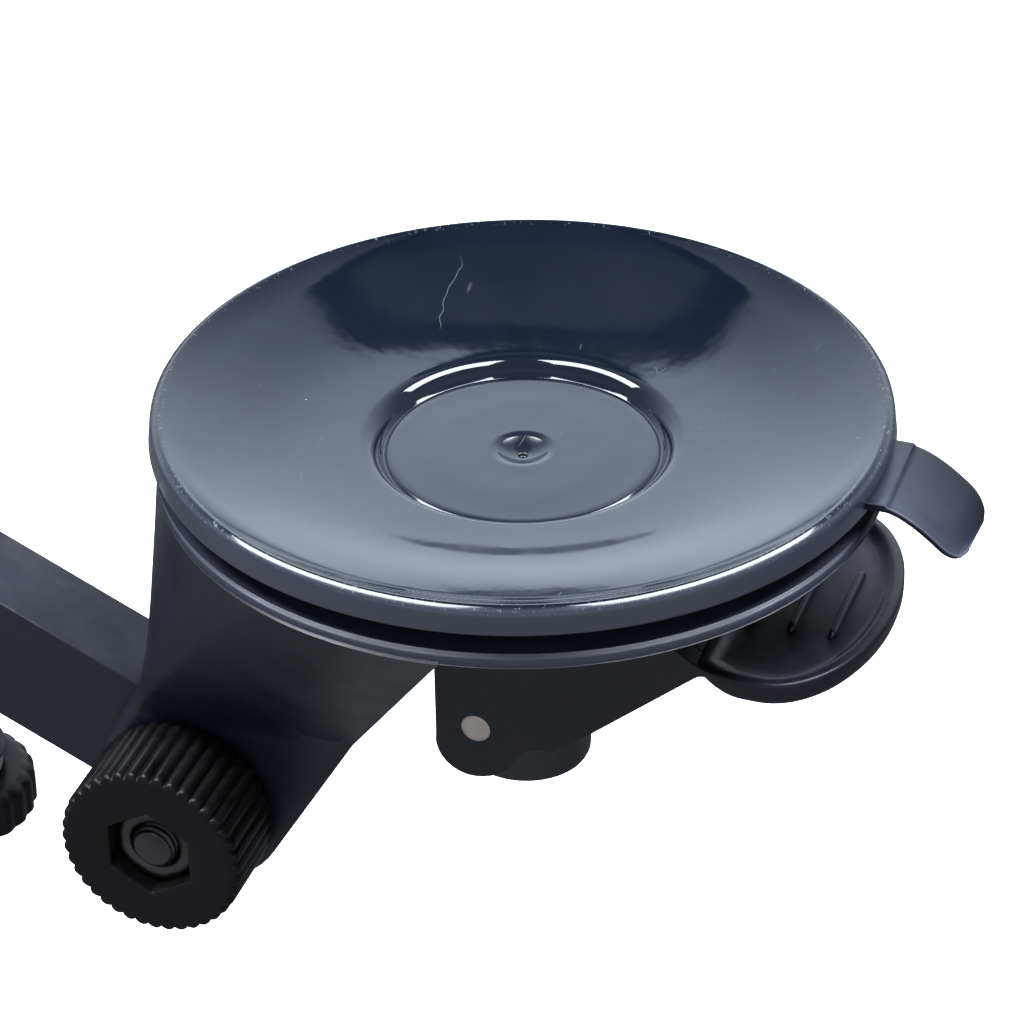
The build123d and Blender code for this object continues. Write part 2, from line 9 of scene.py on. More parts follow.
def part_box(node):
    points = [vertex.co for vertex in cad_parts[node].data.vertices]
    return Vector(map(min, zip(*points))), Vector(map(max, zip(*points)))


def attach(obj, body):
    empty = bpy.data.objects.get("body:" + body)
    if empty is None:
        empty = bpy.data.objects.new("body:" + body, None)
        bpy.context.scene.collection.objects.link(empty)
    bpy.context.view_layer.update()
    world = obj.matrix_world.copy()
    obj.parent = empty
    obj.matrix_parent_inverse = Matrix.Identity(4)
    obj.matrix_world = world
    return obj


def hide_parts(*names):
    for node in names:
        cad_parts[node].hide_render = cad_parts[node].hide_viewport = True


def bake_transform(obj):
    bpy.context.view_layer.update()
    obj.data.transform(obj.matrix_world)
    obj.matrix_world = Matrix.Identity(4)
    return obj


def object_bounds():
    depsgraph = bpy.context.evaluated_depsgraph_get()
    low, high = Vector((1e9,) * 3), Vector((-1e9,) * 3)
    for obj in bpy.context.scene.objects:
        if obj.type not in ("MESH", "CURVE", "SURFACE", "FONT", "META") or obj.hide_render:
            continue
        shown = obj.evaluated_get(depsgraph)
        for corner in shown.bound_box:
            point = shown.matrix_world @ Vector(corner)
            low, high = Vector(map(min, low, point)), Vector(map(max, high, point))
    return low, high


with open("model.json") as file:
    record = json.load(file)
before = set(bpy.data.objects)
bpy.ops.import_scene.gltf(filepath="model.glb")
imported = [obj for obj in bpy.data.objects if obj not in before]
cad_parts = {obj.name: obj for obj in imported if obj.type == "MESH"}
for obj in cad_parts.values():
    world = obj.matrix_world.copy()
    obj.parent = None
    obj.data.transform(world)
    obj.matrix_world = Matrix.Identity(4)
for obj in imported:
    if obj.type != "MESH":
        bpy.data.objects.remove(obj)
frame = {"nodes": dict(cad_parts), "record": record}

# Visual model of a dash camera's suction mount. Metres, in the object's frame: the origin is the
# centre of the cup's lip, +Z points at the glass and +X is the way the lever points.
MM = 0.001
cad_low, cad_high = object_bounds()
nodes = frame["nodes"]
joints = {joint["name"]: joint for joint in frame["record"]["behaviour"]["joints"]}


# ---------------------------------------------------------------- places read from the frame
def reach(node):
    """Half the width of a node along Y."""
    low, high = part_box(node)
    return (high.y - low.y) / 2


hinge = Vector(joints["link_tilt"]["pos_m"])
pin = Vector(joints["lever_turn"]["pos_m"])
swivel = Vector(joints["camera_swivel"]["pos_m"])
wall_radius = reach("suction_cup")
lip_radius = wall_radius - 1.0 * MM
tab_tip_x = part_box("suction_cup")[1].x
tab_tip_z = -7.3 * MM
flange_radius = reach("base_shell")
cad_low_of_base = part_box("base_shell")[0].z
flange_top, flange_bottom = -4.85 * MM, -6.75 * MM


# ---------------------------------------------------------------- mesh helpers
def piece(name, mesh, material, body, slot, *replaced):
    """A shown piece from a bmesh: it rides on a CAD body and stands for CAD nodes."""
    bmesh.ops.recalc_face_normals(mesh, faces=mesh.faces)
    data = bpy.data.meshes.new(name)
    mesh.to_mesh(data)
    mesh.free()
    data.materials.append(material)
    data.shade_smooth()
    made = bpy.data.objects.new(name, data)
    bpy.context.scene.collection.objects.link(made)
    if body:
        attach(made, body)
    if replaced:
        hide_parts(*replaced)
    return made


def skin(loops, closed_ends=True):
    """A tube through loops of points, each loop with the same number of points."""
    mesh = bmesh.new()
    rows = [[mesh.verts.new(point) for point in loop] for loop in loops]
    count = len(rows[0])
    for row, following in zip(rows, rows[1:]):
        for i in range(count):
            j = (i + 1) % count
            mesh.faces.new((row[i], row[j], following[j], following[i]))
    if closed_ends:
        mesh.faces.new(rows[0][::-1])
        mesh.faces.new(rows[-1])
    return mesh


def turned(outline, samples=128, axis="Z", centre=(0, 0, 0)):
    """A closed outline of (radius, height) turned about an axis. A radius may be a function of
    the angle."""
    mesh = bmesh.new()
    rings = []
    for radius, height in outline:
        if radius == 0:
            rings.append([mesh.verts.new(placed(0, 0, height, axis, centre))])
            continue
        ring = []
        for i in range(samples):
            angle = 2 * math.pi * i / samples
            r = radius(angle) if callable(radius) else radius
            across = (r * math.cos(angle), r * math.sin(angle))
            ring.append(mesh.verts.new(placed(*across, height, axis, centre)))
        rings.append(ring)
    closed = len(rings[0]) > 1 or len(rings[-1]) > 1
    pairs = list(zip(rings, rings[1:]))
    if closed:
        pairs.append((rings[-1], rings[0]))
    for ring, following in pairs:
        for i in range(samples):
            j = (i + 1) % samples
            corners = [ring[i % len(ring)], ring[j % len(ring)]]
            corners += [following[j % len(following)], following[i % len(following)]]
            distinct = list(dict.fromkeys(corners))
            if len(distinct) > 2:
                mesh.faces.new(distinct)
    return mesh


def placed(a, b, along, axis, centre):
    """A point of a turned piece: a and b lie across the axis."""
    cx, cy, cz = centre
    if axis == "Z":
        return (cx + a, cy + b, cz + along)
    return (cx + a, cy + along, cz + b)


def rounded(points, steps=6):
    """A closed outline from (u, v, corner radius) with each corner turned into an arc."""
    outline = []
    count = len(points)
    for i, (u, v, radius) in enumerate(points):
        here = Vector((u, v))
        if radius == 0:
            outline.append((u, v))
            continue
        before = Vector(points[i - 1][:2]) - here
        after = Vector(points[(i + 1) % count][:2]) - here
        turn = math.pi - before.angle(after)
        if turn < 1e-4:
            outline.append((u, v))
            continue
        length = min(radius * math.tan(turn / 2), 0.49 * before.length, 0.49 * after.length)
        radius = length / math.tan(turn / 2)
        towards = (before.normalized() + after.normalized()).normalized()
        centre = here + towards * (radius / math.cos(turn / 2))
        spoke = here + before.normalized() * length - centre
        way = 1 if spoke.x * after.y - spoke.y * after.x > 0 else -1
        for k in range(steps + 1):
            angle = way * turn * k / steps
            u_turned = spoke.x * math.cos(angle) - spoke.y * math.sin(angle)
            v_turned = spoke.x * math.sin(angle) + spoke.y * math.cos(angle)
            outline.append((centre.x + u_turned, centre.y + v_turned))
    return outline


def in_mm(points):
    return [tuple(value * MM for value in point) for point in points]


def round_edges(made, width, angle=40):
    """Rounds the edges that are sharper than an angle in degrees."""
    edge = made.modifiers.new("edge", "BEVEL")
    edge.width = width
    edge.segments = 3
    edge.limit_method = "ANGLE"
    edge.angle_limit = math.radians(angle)
    edge.harden_normals = True
    return edge


def soften(made, width):
    """Joins the flat faces of a CAD mesh, then rounds its edges."""
    weld = made.modifiers.new("weld", "WELD")
    weld.merge_threshold = 0.004 * MM
    flatten = made.modifiers.new("flatten", "DECIMATE")
    flatten.decimate_type = "DISSOLVE"
    flatten.angle_limit = math.radians(0.4)
    round_edges(made, width, angle=32).miter_outer = "MITER_ARC"
    return made


# ---------------------------------------------------------------- node groups
def group(name, inputs, outputs):
    """An empty shader node group with named sockets, given as (name, kind, value)."""
    tree = bpy.data.node_groups.new(name, "ShaderNodeTree")
    for label, kind, value in inputs:
        socket = tree.interface.new_socket(label, in_out="INPUT", socket_type="NodeSocket" + kind)
        if value is not None:
            socket.default_value = value
    for label, kind in outputs:
        tree.interface.new_socket(label, in_out="OUTPUT", socket_type="NodeSocket" + kind)
    start = tree.nodes.new("NodeGroupInput")
    end = tree.nodes.new("NodeGroupOutput")
    return tree, start, end


def node(tree, kind, inputs=(), **settings):
    """A node with its settings, and its inputs given as name or index to value or output socket."""
    made = tree.nodes.new("ShaderNode" + kind)
    for name, value in settings.items():
        setattr(made, name, value)
    for key, value in dict(inputs).items():
        if isinstance(value, bpy.types.NodeSocket):
            tree.links.new(value, made.inputs[key])
        else:
            made.inputs[key].default_value = value
    return made


def maths(tree, operation, a, b=0.0, c=0.0, clamp=False):
    return node(tree, "Math", {0: a, 1: b, 2: c}, operation=operation, use_clamp=clamp).outputs[0]


def remap(tree, value, from_low, from_high, to_low=0.0, to_high=1.0, smooth=False):
    kind = "SMOOTHSTEP" if smooth else "LINEAR"
    limits = {1: from_low, 2: from_high, 3: to_low, 4: to_high}
    return node(tree, "MapRange", {0: value, **limits}, interpolation_type=kind).outputs[0]


def times(tree, a, b, clamp=False):
    return maths(tree, "MULTIPLY", a, b, clamp=clamp)


def vector_maths(tree, operation, *values, output="Vector"):
    return node(tree, "VectorMath", dict(enumerate(values)), operation=operation).outputs[output]


def noise(tree, place, scale, detail, roughness=0.5, along_line=False):
    """Noise at a place, or at a distance along a line."""
    inputs = {"W" if along_line else "Vector": place}
    inputs.update({"Scale": scale, "Detail": detail, "Roughness": roughness})
    dimensions = "1D" if along_line else "3D"
    return node(tree, "TexNoise", inputs, noise_dimensions=dimensions).outputs["Fac"]


def object_place(tree):
    """Object coordinates in millimetres."""
    place = node(tree, "TexCoord").outputs["Object"]
    return vector_maths(tree, "MULTIPLY", place, (1 / MM, 1 / MM, 1 / MM))


def moulded_grain():
    """Spark-eroded mould texture: a fine pitted height and a slow variation of gloss."""
    tree, start, end = group(
        "moulded grain",
        [("Grain Size", "Float", 0.25), ("Depth", "Float", 1.0)],
        [("Height", "Float"), ("Gloss Variation", "Float")],
    )
    place = object_place(tree)
    frequency = maths(tree, "DIVIDE", 1.0, start.outputs["Grain Size"])
    fine = noise(tree, place, frequency, 3.0, roughness=0.6)
    pits = node(tree, "TexVoronoi", {"Vector": place, "Scale": times(tree, frequency, 0.7)})
    both = maths(tree, "ADD", fine, times(tree, pits.outputs["Distance"], 0.5))
    slow = noise(tree, place, 0.12, 3.0)
    tree.links.new(times(tree, both, start.outputs["Depth"]), end.inputs["Height"])
    tree.links.new(remap(tree, slow, 0.35, 0.65), end.inputs["Gloss Variation"])
    return tree


def edge_wear_and_highlight():
    """Where an edge or a raised crest has been rubbed, which also paints the highlight an edge
    catches: 1 on the edge, 0 elsewhere.
    """
    tree, start, end = group(
        "edge wear and highlight",
        [("Width", "Float", 0.3 * MM), ("Unevenness", "Float", 0.5)],
        [("Worn And Highlight", "Float")],
    )
    round_normal = node(tree, "Bevel", {"Radius": start.outputs["Width"]}, samples=4).outputs[0]
    flat_normal = node(tree, "NewGeometry").outputs["Normal"]
    same = vector_maths(tree, "DOT_PRODUCT", round_normal, flat_normal, output="Value")
    edge = remap(tree, same, 0.995, 0.86, smooth=True)
    patches = noise(tree, object_place(tree), 0.5, 4.0)
    uneven = remap(tree, patches, 0.4, 0.6)
    kept = maths(tree, "SUBTRACT", 1.0, times(tree, start.outputs["Unevenness"], uneven))
    tree.links.new(times(tree, edge, kept), end.inputs["Worn And Highlight"])
    return tree


def dust():
    """Scattered specks and a thin film of dust on what faces up."""
    tree, start, end = group(
        "dust",
        [("Speck Spacing", "Float", 3.0), ("Speck Size", "Float", 0.08), ("Film", "Float", 0.2)],
        [("Specks", "Float"), ("Film", "Float")],
    )
    place = object_place(tree)
    frequency = maths(tree, "DIVIDE", 1.0, start.outputs["Speck Spacing"])
    cells = node(tree, "TexVoronoi", {"Vector": place, "Scale": frequency, "Randomness": 1.0})
    size = node(tree, "SeparateColor", {0: cells.outputs["Color"]}).outputs[0]
    present = remap(tree, size, 0.55, 0.9)
    limit = times(tree, times(tree, start.outputs["Speck Size"], frequency), present)
    inside = maths(tree, "LESS_THAN", cells.outputs["Distance"], limit)
    tree.links.new(inside, end.inputs["Specks"])
    up = node(tree, "SeparateXYZ", {0: node(tree, "NewGeometry").outputs["Normal"]}).outputs["Z"]
    cloud = noise(tree, place, 0.25, 6.0, roughness=0.7)
    film = times(tree, remap(tree, up, 0.2, 1.0), remap(tree, cloud, 0.4, 0.7))
    tree.links.new(times(tree, film, start.outputs["Film"]), end.inputs["Film"])
    return tree


def hair_scratches():
    """Short fine scratches that lie in all directions."""
    tree, start, end = group(
        "hair scratches",
        [("Spacing", "Float", 6.0), ("Thinness", "Float", 0.02), ("Share", "Float", 0.4)],
        [("Scratch", "Float")],
    )
    place = object_place(tree)
    frequency = maths(tree, "DIVIDE", 1.0, start.outputs["Spacing"])
    bend_by, stretch = (2.0, 2.0, 2.0), (1.0, 0.18, 0.18)
    total = None
    for turn, offset in ((0.4, 3.1), (1.5, 17.7), (2.5, 41.3)):
        mapping = node(tree, "Mapping", {
            "Vector": place, "Rotation": (0, 0, turn), "Location": (offset, offset, 0),
            "Scale": stretch,
        }).outputs[0]
        wander = node(tree, "TexNoise", {"Vector": mapping, "Scale": 0.35, "Detail": 2.0})
        bent = vector_maths(tree, "MULTIPLY_ADD", wander.outputs["Color"], bend_by, mapping)
        cells = {"Vector": bent, "Scale": frequency}
        edges = node(tree, "TexVoronoi", cells, feature="DISTANCE_TO_EDGE").outputs["Distance"]
        line = remap(tree, edges, start.outputs["Thinness"], 0.0)
        chosen = noise(tree, place, 0.16 + 0.03 * turn, 1.0)
        low = maths(tree, "SUBTRACT", 0.72, times(tree, start.outputs["Share"], 0.4))
        here = times(tree, line, remap(tree, chosen, low, 0.8), clamp=True)
        total = here if total is None else maths(tree, "MAXIMUM", total, here)
    tree.links.new(total, end.inputs["Scratch"])
    return tree


def turning_lines():
    """Fine rings left by a lathe round an axis through a point."""
    tree, start, end = group(
        "turning lines",
        [("Centre", "Vector", (0, 0, 0)), ("Across", "Vector", (1, 1, 0)), ("Pitch", "Float", 0.1)],
        [("Height", "Float")],
    )
    place = object_place(tree)
    away = vector_maths(tree, "SUBTRACT", place, start.outputs["Centre"])
    flat = vector_maths(tree, "MULTIPLY", away, start.outputs["Across"])
    radius = vector_maths(tree, "LENGTH", flat, output="Value")
    along = maths(tree, "DIVIDE", radius, start.outputs["Pitch"])
    lines = noise(tree, along, 1.0, 2.0, along_line=True)
    tree.links.new(lines, end.inputs["Height"])
    return tree


grain_group = moulded_grain()
wear_and_highlight_group = edge_wear_and_highlight()
dust_group = dust()
scratch_group = hair_scratches()
turning_group = turning_lines()


def use(tree, shared, **values):
    """Places a shared node group in a material, with its own values."""
    made = tree.nodes.new("ShaderNodeGroup")
    made.node_tree = shared
    for name, value in values.items():
        made.inputs[name.replace("_", " ").title()].default_value = value
    return made


def mix(tree, share, a, b):
    """Mixes two colours by a mask."""
    made = node(tree, "Mix", data_type="RGBA")
    for key, value in ((0, share), (6, a), (7, b)):
        if isinstance(value, bpy.types.NodeSocket):
            tree.links.new(value, made.inputs[key])
        else:
            made.inputs[key].default_value = (*value, 1.0) if isinstance(value, tuple) else value
    return made.outputs[2]


def bump(tree, height, strength, distance):
    inputs = {"Height": height, "Strength": strength, "Distance": distance}
    return node(tree, "Bump", inputs).outputs[0]


def new_material(name):
    """A material with its Principled shader: (material, tree, shader)."""
    made = bpy.data.materials.new(name)
    made.use_nodes = True
    return made, made.node_tree, made.node_tree.nodes["Principled BSDF"]


# ---------------------------------------------------------------- materials
DUST_COLOUR = (0.16, 0.15, 0.14)


def moulded_plastic(name, colour, worn_and_highlight_colour, gloss, grain_size, grain_depth, shine=0.5):
    """Moulded plastic or rubber with a fine grain, rubbed edges that also carry a painted edge
    highlight, and a little dust.
    """
    material, tree, shader = new_material(name)
    grain = use(tree, grain_group, grain_size=grain_size, depth=1.0)
    wear = use(tree, wear_and_highlight_group, width=0.25 * MM, unevenness=0.6)
    specks = use(tree, dust_group, speck_spacing=3.5, speck_size=0.06, film=0.1)
    # Edges take the lighter colour, partly as real rubbing and partly as a painted edge highlight.
    base = mix(tree, wear.outputs["Worn And Highlight"], colour, worn_and_highlight_colour)
    dusty = maths(tree, "ADD", specks.outputs["Film"], specks.outputs["Specks"], clamp=True)
    tree.links.new(mix(tree, dusty, base, DUST_COLOUR), shader.inputs["Base Color"])
    rough = remap(tree, grain.outputs["Gloss Variation"], 0, 1, gloss - 0.05, gloss + 0.06)
    polish = times(tree, wear.outputs["Worn And Highlight"], 0.1)
    rough = maths(tree, "SUBTRACT", rough, polish, clamp=True)
    tree.links.new(rough, shader.inputs["Roughness"])
    normal = bump(tree, grain.outputs["Height"], grain_depth, 0.03 * MM)
    tree.links.new(normal, shader.inputs["Normal"])
    shader.inputs["Specular IOR Level"].default_value = shine
    return material


def fine_crease(tree, x, y):
    """A hair-fine crease down the dish, near its far left."""
    slope, left_of_middle, wandering, half_width = 0.125, 11.4, 2.4, 0.05
    wander = noise(tree, y, 0.22, 1.5, along_line=True)
    line = maths(tree, "MULTIPLY_ADD", y, slope, maths(tree, "ADD", x, left_of_middle))
    line = maths(tree, "ABSOLUTE", maths(tree, "MULTIPLY_ADD", wander, wandering, line))
    length = times(tree, remap(tree, y, 15.5, 17.0), remap(tree, y, 27.0, 25.0))
    return times(tree, remap(tree, line, half_width, 0.0), length, clamp=True)


DEEP_BLUE, CLOUDED_BLUE = (0.003, 0.005, 0.012), (0.006, 0.008, 0.017)
# The wall's lighter blue is a painted sheen, not a colour of the cup's plastic.
WALL_SHEEN_BLUE = (0.032, 0.036, 0.052)
SCRATCH_GREY, RUBBED_GREY = (0.22, 0.23, 0.26), (0.20, 0.21, 0.23)
CREASE_GREY, SPECK_GREY = (0.22, 0.23, 0.27), (0.30, 0.29, 0.27)


def cup_skin():
    """Glossy soft plastic of the cup: deep blue-black, with flow marks, fine scratches and dust, and
    a painted sheen that lightens its side wall.
    """
    material, tree, shader = new_material("cup skin")
    place = object_place(tree)
    parts = node(tree, "SeparateXYZ", {0: place})
    x, y, z = (parts.outputs[axis] for axis in "XYZ")
    turn = maths(tree, "ARCTAN2", y, x)
    level = node(tree, "CombineXYZ", {"X": x, "Y": y}).outputs[0]
    radius = vector_maths(tree, "LENGTH", level, output="Value")
    spoke = {"X": times(tree, turn, 5.0), "Y": times(tree, radius, 0.06)}
    flow = noise(tree, node(tree, "CombineXYZ", spoke).outputs[0], 1.4, 3.0)
    cloud = noise(tree, place, 0.06, 4.0, roughness=0.6)
    nicks = noise(tree, place, 2.2, 3.0, roughness=0.75)
    scratches = use(tree, scratch_group, spacing=14.0, thinness=0.003, share=0.15)
    scratch = scratches.outputs["Scratch"]
    speck = use(tree, dust_group, speck_spacing=5.5, speck_size=0.09, film=0.01)
    speck = speck.outputs["Specks"]

    in_dish = remap(tree, radius, 14.5, 20.0, smooth=True)
    on_wall = times(tree, remap(tree, radius, 35.2, 35.5), remap(tree, z, -3.0, -2.85))
    on_crest = times(tree, remap(tree, z, -0.75, -0.1), remap(tree, radius, 34.3, 34.7))
    rubbed = times(tree, on_crest, remap(tree, nicks, 0.60, 0.66))
    crease = fine_crease(tree, x, y)

    base = mix(tree, remap(tree, cloud, 0.35, 0.65), DEEP_BLUE, CLOUDED_BLUE)
    base = mix(tree, times(tree, scratch, 0.35), base, SCRATCH_GREY)
    # Painted sheen: the side wall is drawn in a lighter blue than the dish.
    base = mix(tree, on_wall, base, WALL_SHEEN_BLUE)
    base = mix(tree, times(tree, rubbed, 0.6), base, RUBBED_GREY)
    base = mix(tree, times(tree, crease, 0.5), base, CREASE_GREY)
    tree.links.new(mix(tree, speck, base, SPECK_GREY), shader.inputs["Base Color"])

    flow_marks = remap(tree, flow, 0.3, 0.7, 0.0, 0.05)
    rough = maths(tree, "MULTIPLY_ADD", flow_marks, in_dish, 0.045)
    satin_disc = remap(tree, radius, 13.2, 13.4, 0.14, 0.0)
    rough = maths(tree, "ADD", rough, satin_disc)
    marked = maths(tree, "ADD", scratch, speck, clamp=True)
    marked = maths(tree, "ADD", marked, maths(tree, "MAXIMUM", crease, rubbed), clamp=True)
    rough = maths(tree, "MULTIPLY_ADD", on_wall, 0.16, rough)
    rough = maths(tree, "ADD", rough, times(tree, marked, 0.3), clamp=True)
    tree.links.new(rough, shader.inputs["Roughness"])

    streaks = times(tree, times(tree, flow, in_dish), 0.05)
    wave = maths(tree, "MULTIPLY_ADD", cloud, 0.5, streaks)
    wave = maths(tree, "MULTIPLY_ADD", crease, 0.12, wave)
    wave = maths(tree, "SUBTRACT", wave, times(tree, scratch, 0.08))
    tree.links.new(bump(tree, wave, 0.35, 0.35 * MM), shader.inputs["Normal"])
    shader.inputs["Specular IOR Level"].default_value = 0.6
    shader.inputs["Coat Weight"].default_value = 0.3
    shader.inputs["Coat Roughness"].default_value = 0.05
    return material


def steel(name, colour, gloss, centre, across, pitch=0.12, metal=1.0):
    """Steel with the fine rings of a lathe or a die."""
    material, tree, shader = new_material(name)
    rings = use(tree, turning_group, centre=centre, across=across, pitch=pitch)
    grain = use(tree, grain_group, grain_size=0.4, depth=1.0)
    dull = tuple(0.55 * value for value in colour)
    tone = mix(tree, grain.outputs["Gloss Variation"], colour, dull)
    tree.links.new(tone, shader.inputs["Base Color"])
    shader.inputs["Metallic"].default_value = metal
    rough = remap(tree, rings.outputs["Height"], 0.3, 0.7, gloss - 0.06, gloss + 0.08)
    tree.links.new(rough, shader.inputs["Roughness"])
    tree.links.new(bump(tree, rings.outputs["Height"], 0.2, 0.02 * MM), shader.inputs["Normal"])
    return material


in_mm_hinge = tuple(value / MM for value in hinge)
in_mm_pin = tuple(value / MM for value in pin)
in_mm_swivel = tuple(value / MM for value in swivel)
round_y = (1, 0, 1)
round_z = (1, 1, 0)

cup_material = cup_skin()

# Each plastic: its colour, the colour of its rubbed edges, which is also a painted edge highlight,
# then roughness, size and depth of the grain, and at the end its shine where it isn't the usual one.
plastics = {name: moulded_plastic(name, *look) for name, look in {
    "tab skin": ((0.020, 0.022, 0.043), (0.09, 0.09, 0.12), 0.38, 0.30, 0.15),
    "shell plastic": ((0.006, 0.007, 0.016), (0.035, 0.037, 0.050), 0.42, 0.16, 0.35, 0.55),
    # The flange is the shell plastic painted lighter: a painted sheen for the light it reflects.
    "flange plastic with painted sheen": ((0.024, 0.028, 0.044), (0.030, 0.034, 0.050), 0.40, 0.22, 0.20, 0.6),
    "lever plastic": ((0.004, 0.003, 0.010), (0.04, 0.038, 0.055), 0.36, 0.16, 0.30, 0.42),
    "knob plastic": ((0.004, 0.003, 0.004), (0.06, 0.055, 0.06), 0.34, 0.14, 0.35, 0.22),
    "stem plastic": ((0.018, 0.018, 0.024), (0.05, 0.05, 0.055), 0.40, 0.18, 0.25),
    "slip plastic": ((0.60, 0.59, 0.55), (0.7, 0.69, 0.65), 0.45, 0.3, 0.2),
    "soft pad": ((0.020, 0.020, 0.022), (0.04, 0.04, 0.04), 0.7, 0.35, 0.6),
    "friction fibre": ((0.030, 0.027, 0.025), (0.07, 0.06, 0.06), 0.8, 0.12, 0.9),
}.items()}
shell_material = plastics["shell plastic"]
lever_material = plastics["lever plastic"]
knob_material = plastics["knob plastic"]
stem_material = plastics["stem plastic"]

pin_material = steel("pin steel", (0.85, 0.73, 0.66), 0.42, in_mm_pin, round_y, metal=0.6)
dark_steel_material = steel("blackened steel", (0.10, 0.095, 0.10), 0.34, in_mm_hinge, round_y)
bolt_steel_material = steel("plated steel", (0.62, 0.61, 0.60), 0.26, in_mm_swivel, round_z)
washer_steel_material = steel("washer steel", (0.60, 0.60, 0.60), 0.28, in_mm_hinge, round_y)
spring_steel_material = steel("spring wire", (0.50, 0.49, 0.48), 0.25, (0, 0, 0), round_z)


# ---------------------------------------------------------------- suction cup
disc_edge = 13.3
cup_floor = -5.7
band_width, band_drop = 3.0, 1.25


def cup_outline():
    """Half section of the cup in millimetres, from the gate dimple out over the lip, down the
    wall and back underneath."""
    lip, wall = lip_radius / MM, wall_radius / MM
    disc, floor = disc_edge, cup_floor
    wall_foot, collar_top, collar_foot, plate_top = -2.8, -7.7, -10.3, -9.5
    top = [(0.0, floor - 1.15), (0.28, floor - 1.15), (0.38, floor - 1.05)]
    top += [(0.42, floor - 0.86), (0.50, floor - 0.79)]
    top += dimple(0.62, 2.6, floor)
    top += [(u, floor + 0.02 * math.sin(u)) for u in (3.4, 5, 7, 9, 11, 12.2)]
    top += [(disc - 0.35, floor), (disc - 0.12, floor - 0.04), (disc + 0.02, floor - 0.22)]
    top += [(disc + 0.16, floor - 0.30), (disc + 0.30, floor - 0.24), (disc + 0.42, floor - 0.04)]
    top += shoulder(disc + 0.5, floor)
    top += lip_band(lip)
    side = [(lip + 0.12, -0.05), (lip + 0.26, -0.135), (lip + 0.40, -0.235), (lip + 0.54, -0.35)]
    side += [(lip + 0.66, -0.48), (lip + 0.76, -0.66), (lip + 0.83, -1.0), (wall - 0.08, -1.9)]
    side += [(wall - 0.02, -2.40), (wall, -2.55), (wall - 0.06, -2.70), (wall - 0.28, wall_foot)]
    under = [(wall - 2.6, wall_foot), (wall - 3.9, wall_foot - 0.04), (wall - 4.5, -3.2)]
    under += [(26.0, -5.0), (20.0, -6.1), (15.8, -6.5), (14.8, -7.4), (14.6, -8.2), (14.6, -10.0)]
    under += [(14.3, collar_foot), (9.4, collar_foot), (9.4, plate_top), (12.6, plate_top)]
    under += [(12.6, collar_top), (0.0, collar_top)]
    return top + side + under


def dimple(start, end, floor):
    """The gate's shallow bowl."""
    depth, steps = 0.76, 12
    points = []
    for i in range(steps + 1):
        share = i / steps
        fall = 1 - share ** 1.7
        points.append((start + (end - start) * share, floor - depth * fall))
    return points


def shoulder(start, floor):
    """The step from the disc up into the dish, then the long sagging dish."""
    points = []
    run, rise, steps = 1.9, 1.45, 8
    for i in range(steps + 1):
        share = i / steps
        eased = math.sin(0.5 * math.pi * share)
        points.append((start + run * share ** 1.25, floor + rise * eased))
    u0, z0 = points[-1]
    u1, z1 = lip_radius / MM - band_width, -band_drop
    deepest, steps = 0.62, 26
    for i in range(1, steps + 1):
        share = i / steps
        sag = deepest * math.sin(math.pi * share)
        points.append((u0 + (u1 - u0) * share, z0 + (z1 - z0) * share - sag))
    return points


def lip_band(lip):
    """The soft band inside the crest climbs steadily, then rolls over the crest."""
    start, climb, steps = lip - band_width, band_drop - 0.07, 12
    points = []
    for i in range(1, steps + 1):
        share = i / steps
        height = climb * (0.78 * share + 0.22 * share ** 2) - band_drop
        points.append((start + 2.7 * share, height))
    return points + [(lip - 0.17, -0.02), (lip - 0.06, 0.0), (lip + 0.03, -0.01)]


def suction_cup():
    mesh = turned(in_mm(cup_outline()), samples=288)
    cup = piece("suction_cup_skin", mesh, cup_material, None, "cup_rubber", "suction_cup")
    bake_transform(cup)
    return cup


def pull_tab():
    """A tongue moulded to the wall: a level root, a small step, then a curl down and away."""
    root, step = wall_radius - 0.6 * MM, wall_radius + 1.5 * MM
    top, drop = -1.0 * MM, 0.30 * MM
    tip_x, tip_z = tab_tip_x - 0.25 * MM, tab_tip_z + 0.75 * MM
    stations = [(root, top, 1.3), (step - 0.25 * MM, top, 1.3)]
    stations += [(step - 0.05 * MM, top - 0.04 * MM, 1.27)]
    stations += [(step + 0.08 * MM, top - 0.22 * MM, 1.1), (step + 0.2 * MM, top - drop, 1.0)]
    first = len(stations)
    run, fall = tip_x - step, tip_z - top + drop
    steps = 26
    for i in range(1, steps + 1):
        share = i / steps
        stations.append((step + run * share ** 0.94, top - drop + fall * share ** 1.45, 1.0))
    loops = []
    half_width, corner = 5.6 * MM, 2.8 * MM
    length = 0.0
    lengths = [0.0]
    for a, b in zip(stations, stations[1:]):
        length += math.hypot(b[0] - a[0], b[1] - a[1])
        lengths.append(length)
    for i, (x, z, thickness) in enumerate(stations):
        left = length - lengths[i]
        inset = 0
        if left < corner:
            inset = corner - math.sqrt(max(corner ** 2 - max(corner - left, 0) ** 2, 0))
        ahead = stations[min(i + 1, len(stations) - 1)]
        behind = stations[max(i - 1, 0)]
        along = Vector((ahead[0] - behind[0], 0, ahead[1] - behind[1])).normalized()
        if i < first:
            along = Vector((1, 0, 0))
        down = Vector((along.z, 0, -along.x))
        thin = thickness * MM * (0.55 if left < 0.05 * MM else 1.0)
        loops.append(tab_section(Vector((x, 0, z)), down, half_width - inset, thin))
    mesh = skin(loops)
    return piece("pull_tab", mesh, plastics["tab skin"], "base", "cup_rubber")


def tab_section(top, down, half, thickness):
    """A flat section with rounded sides, from its top edge."""
    radius = min(0.32 * MM, thickness / 2 - 0.01 * MM)
    corners = [(-half, 0, radius), (half, 0, radius)]
    corners += [(half, thickness, radius), (-half, thickness, radius)]
    return [top + Vector((0, 1, 0)) * v + down * w for v, w in rounded(corners, steps=4)]


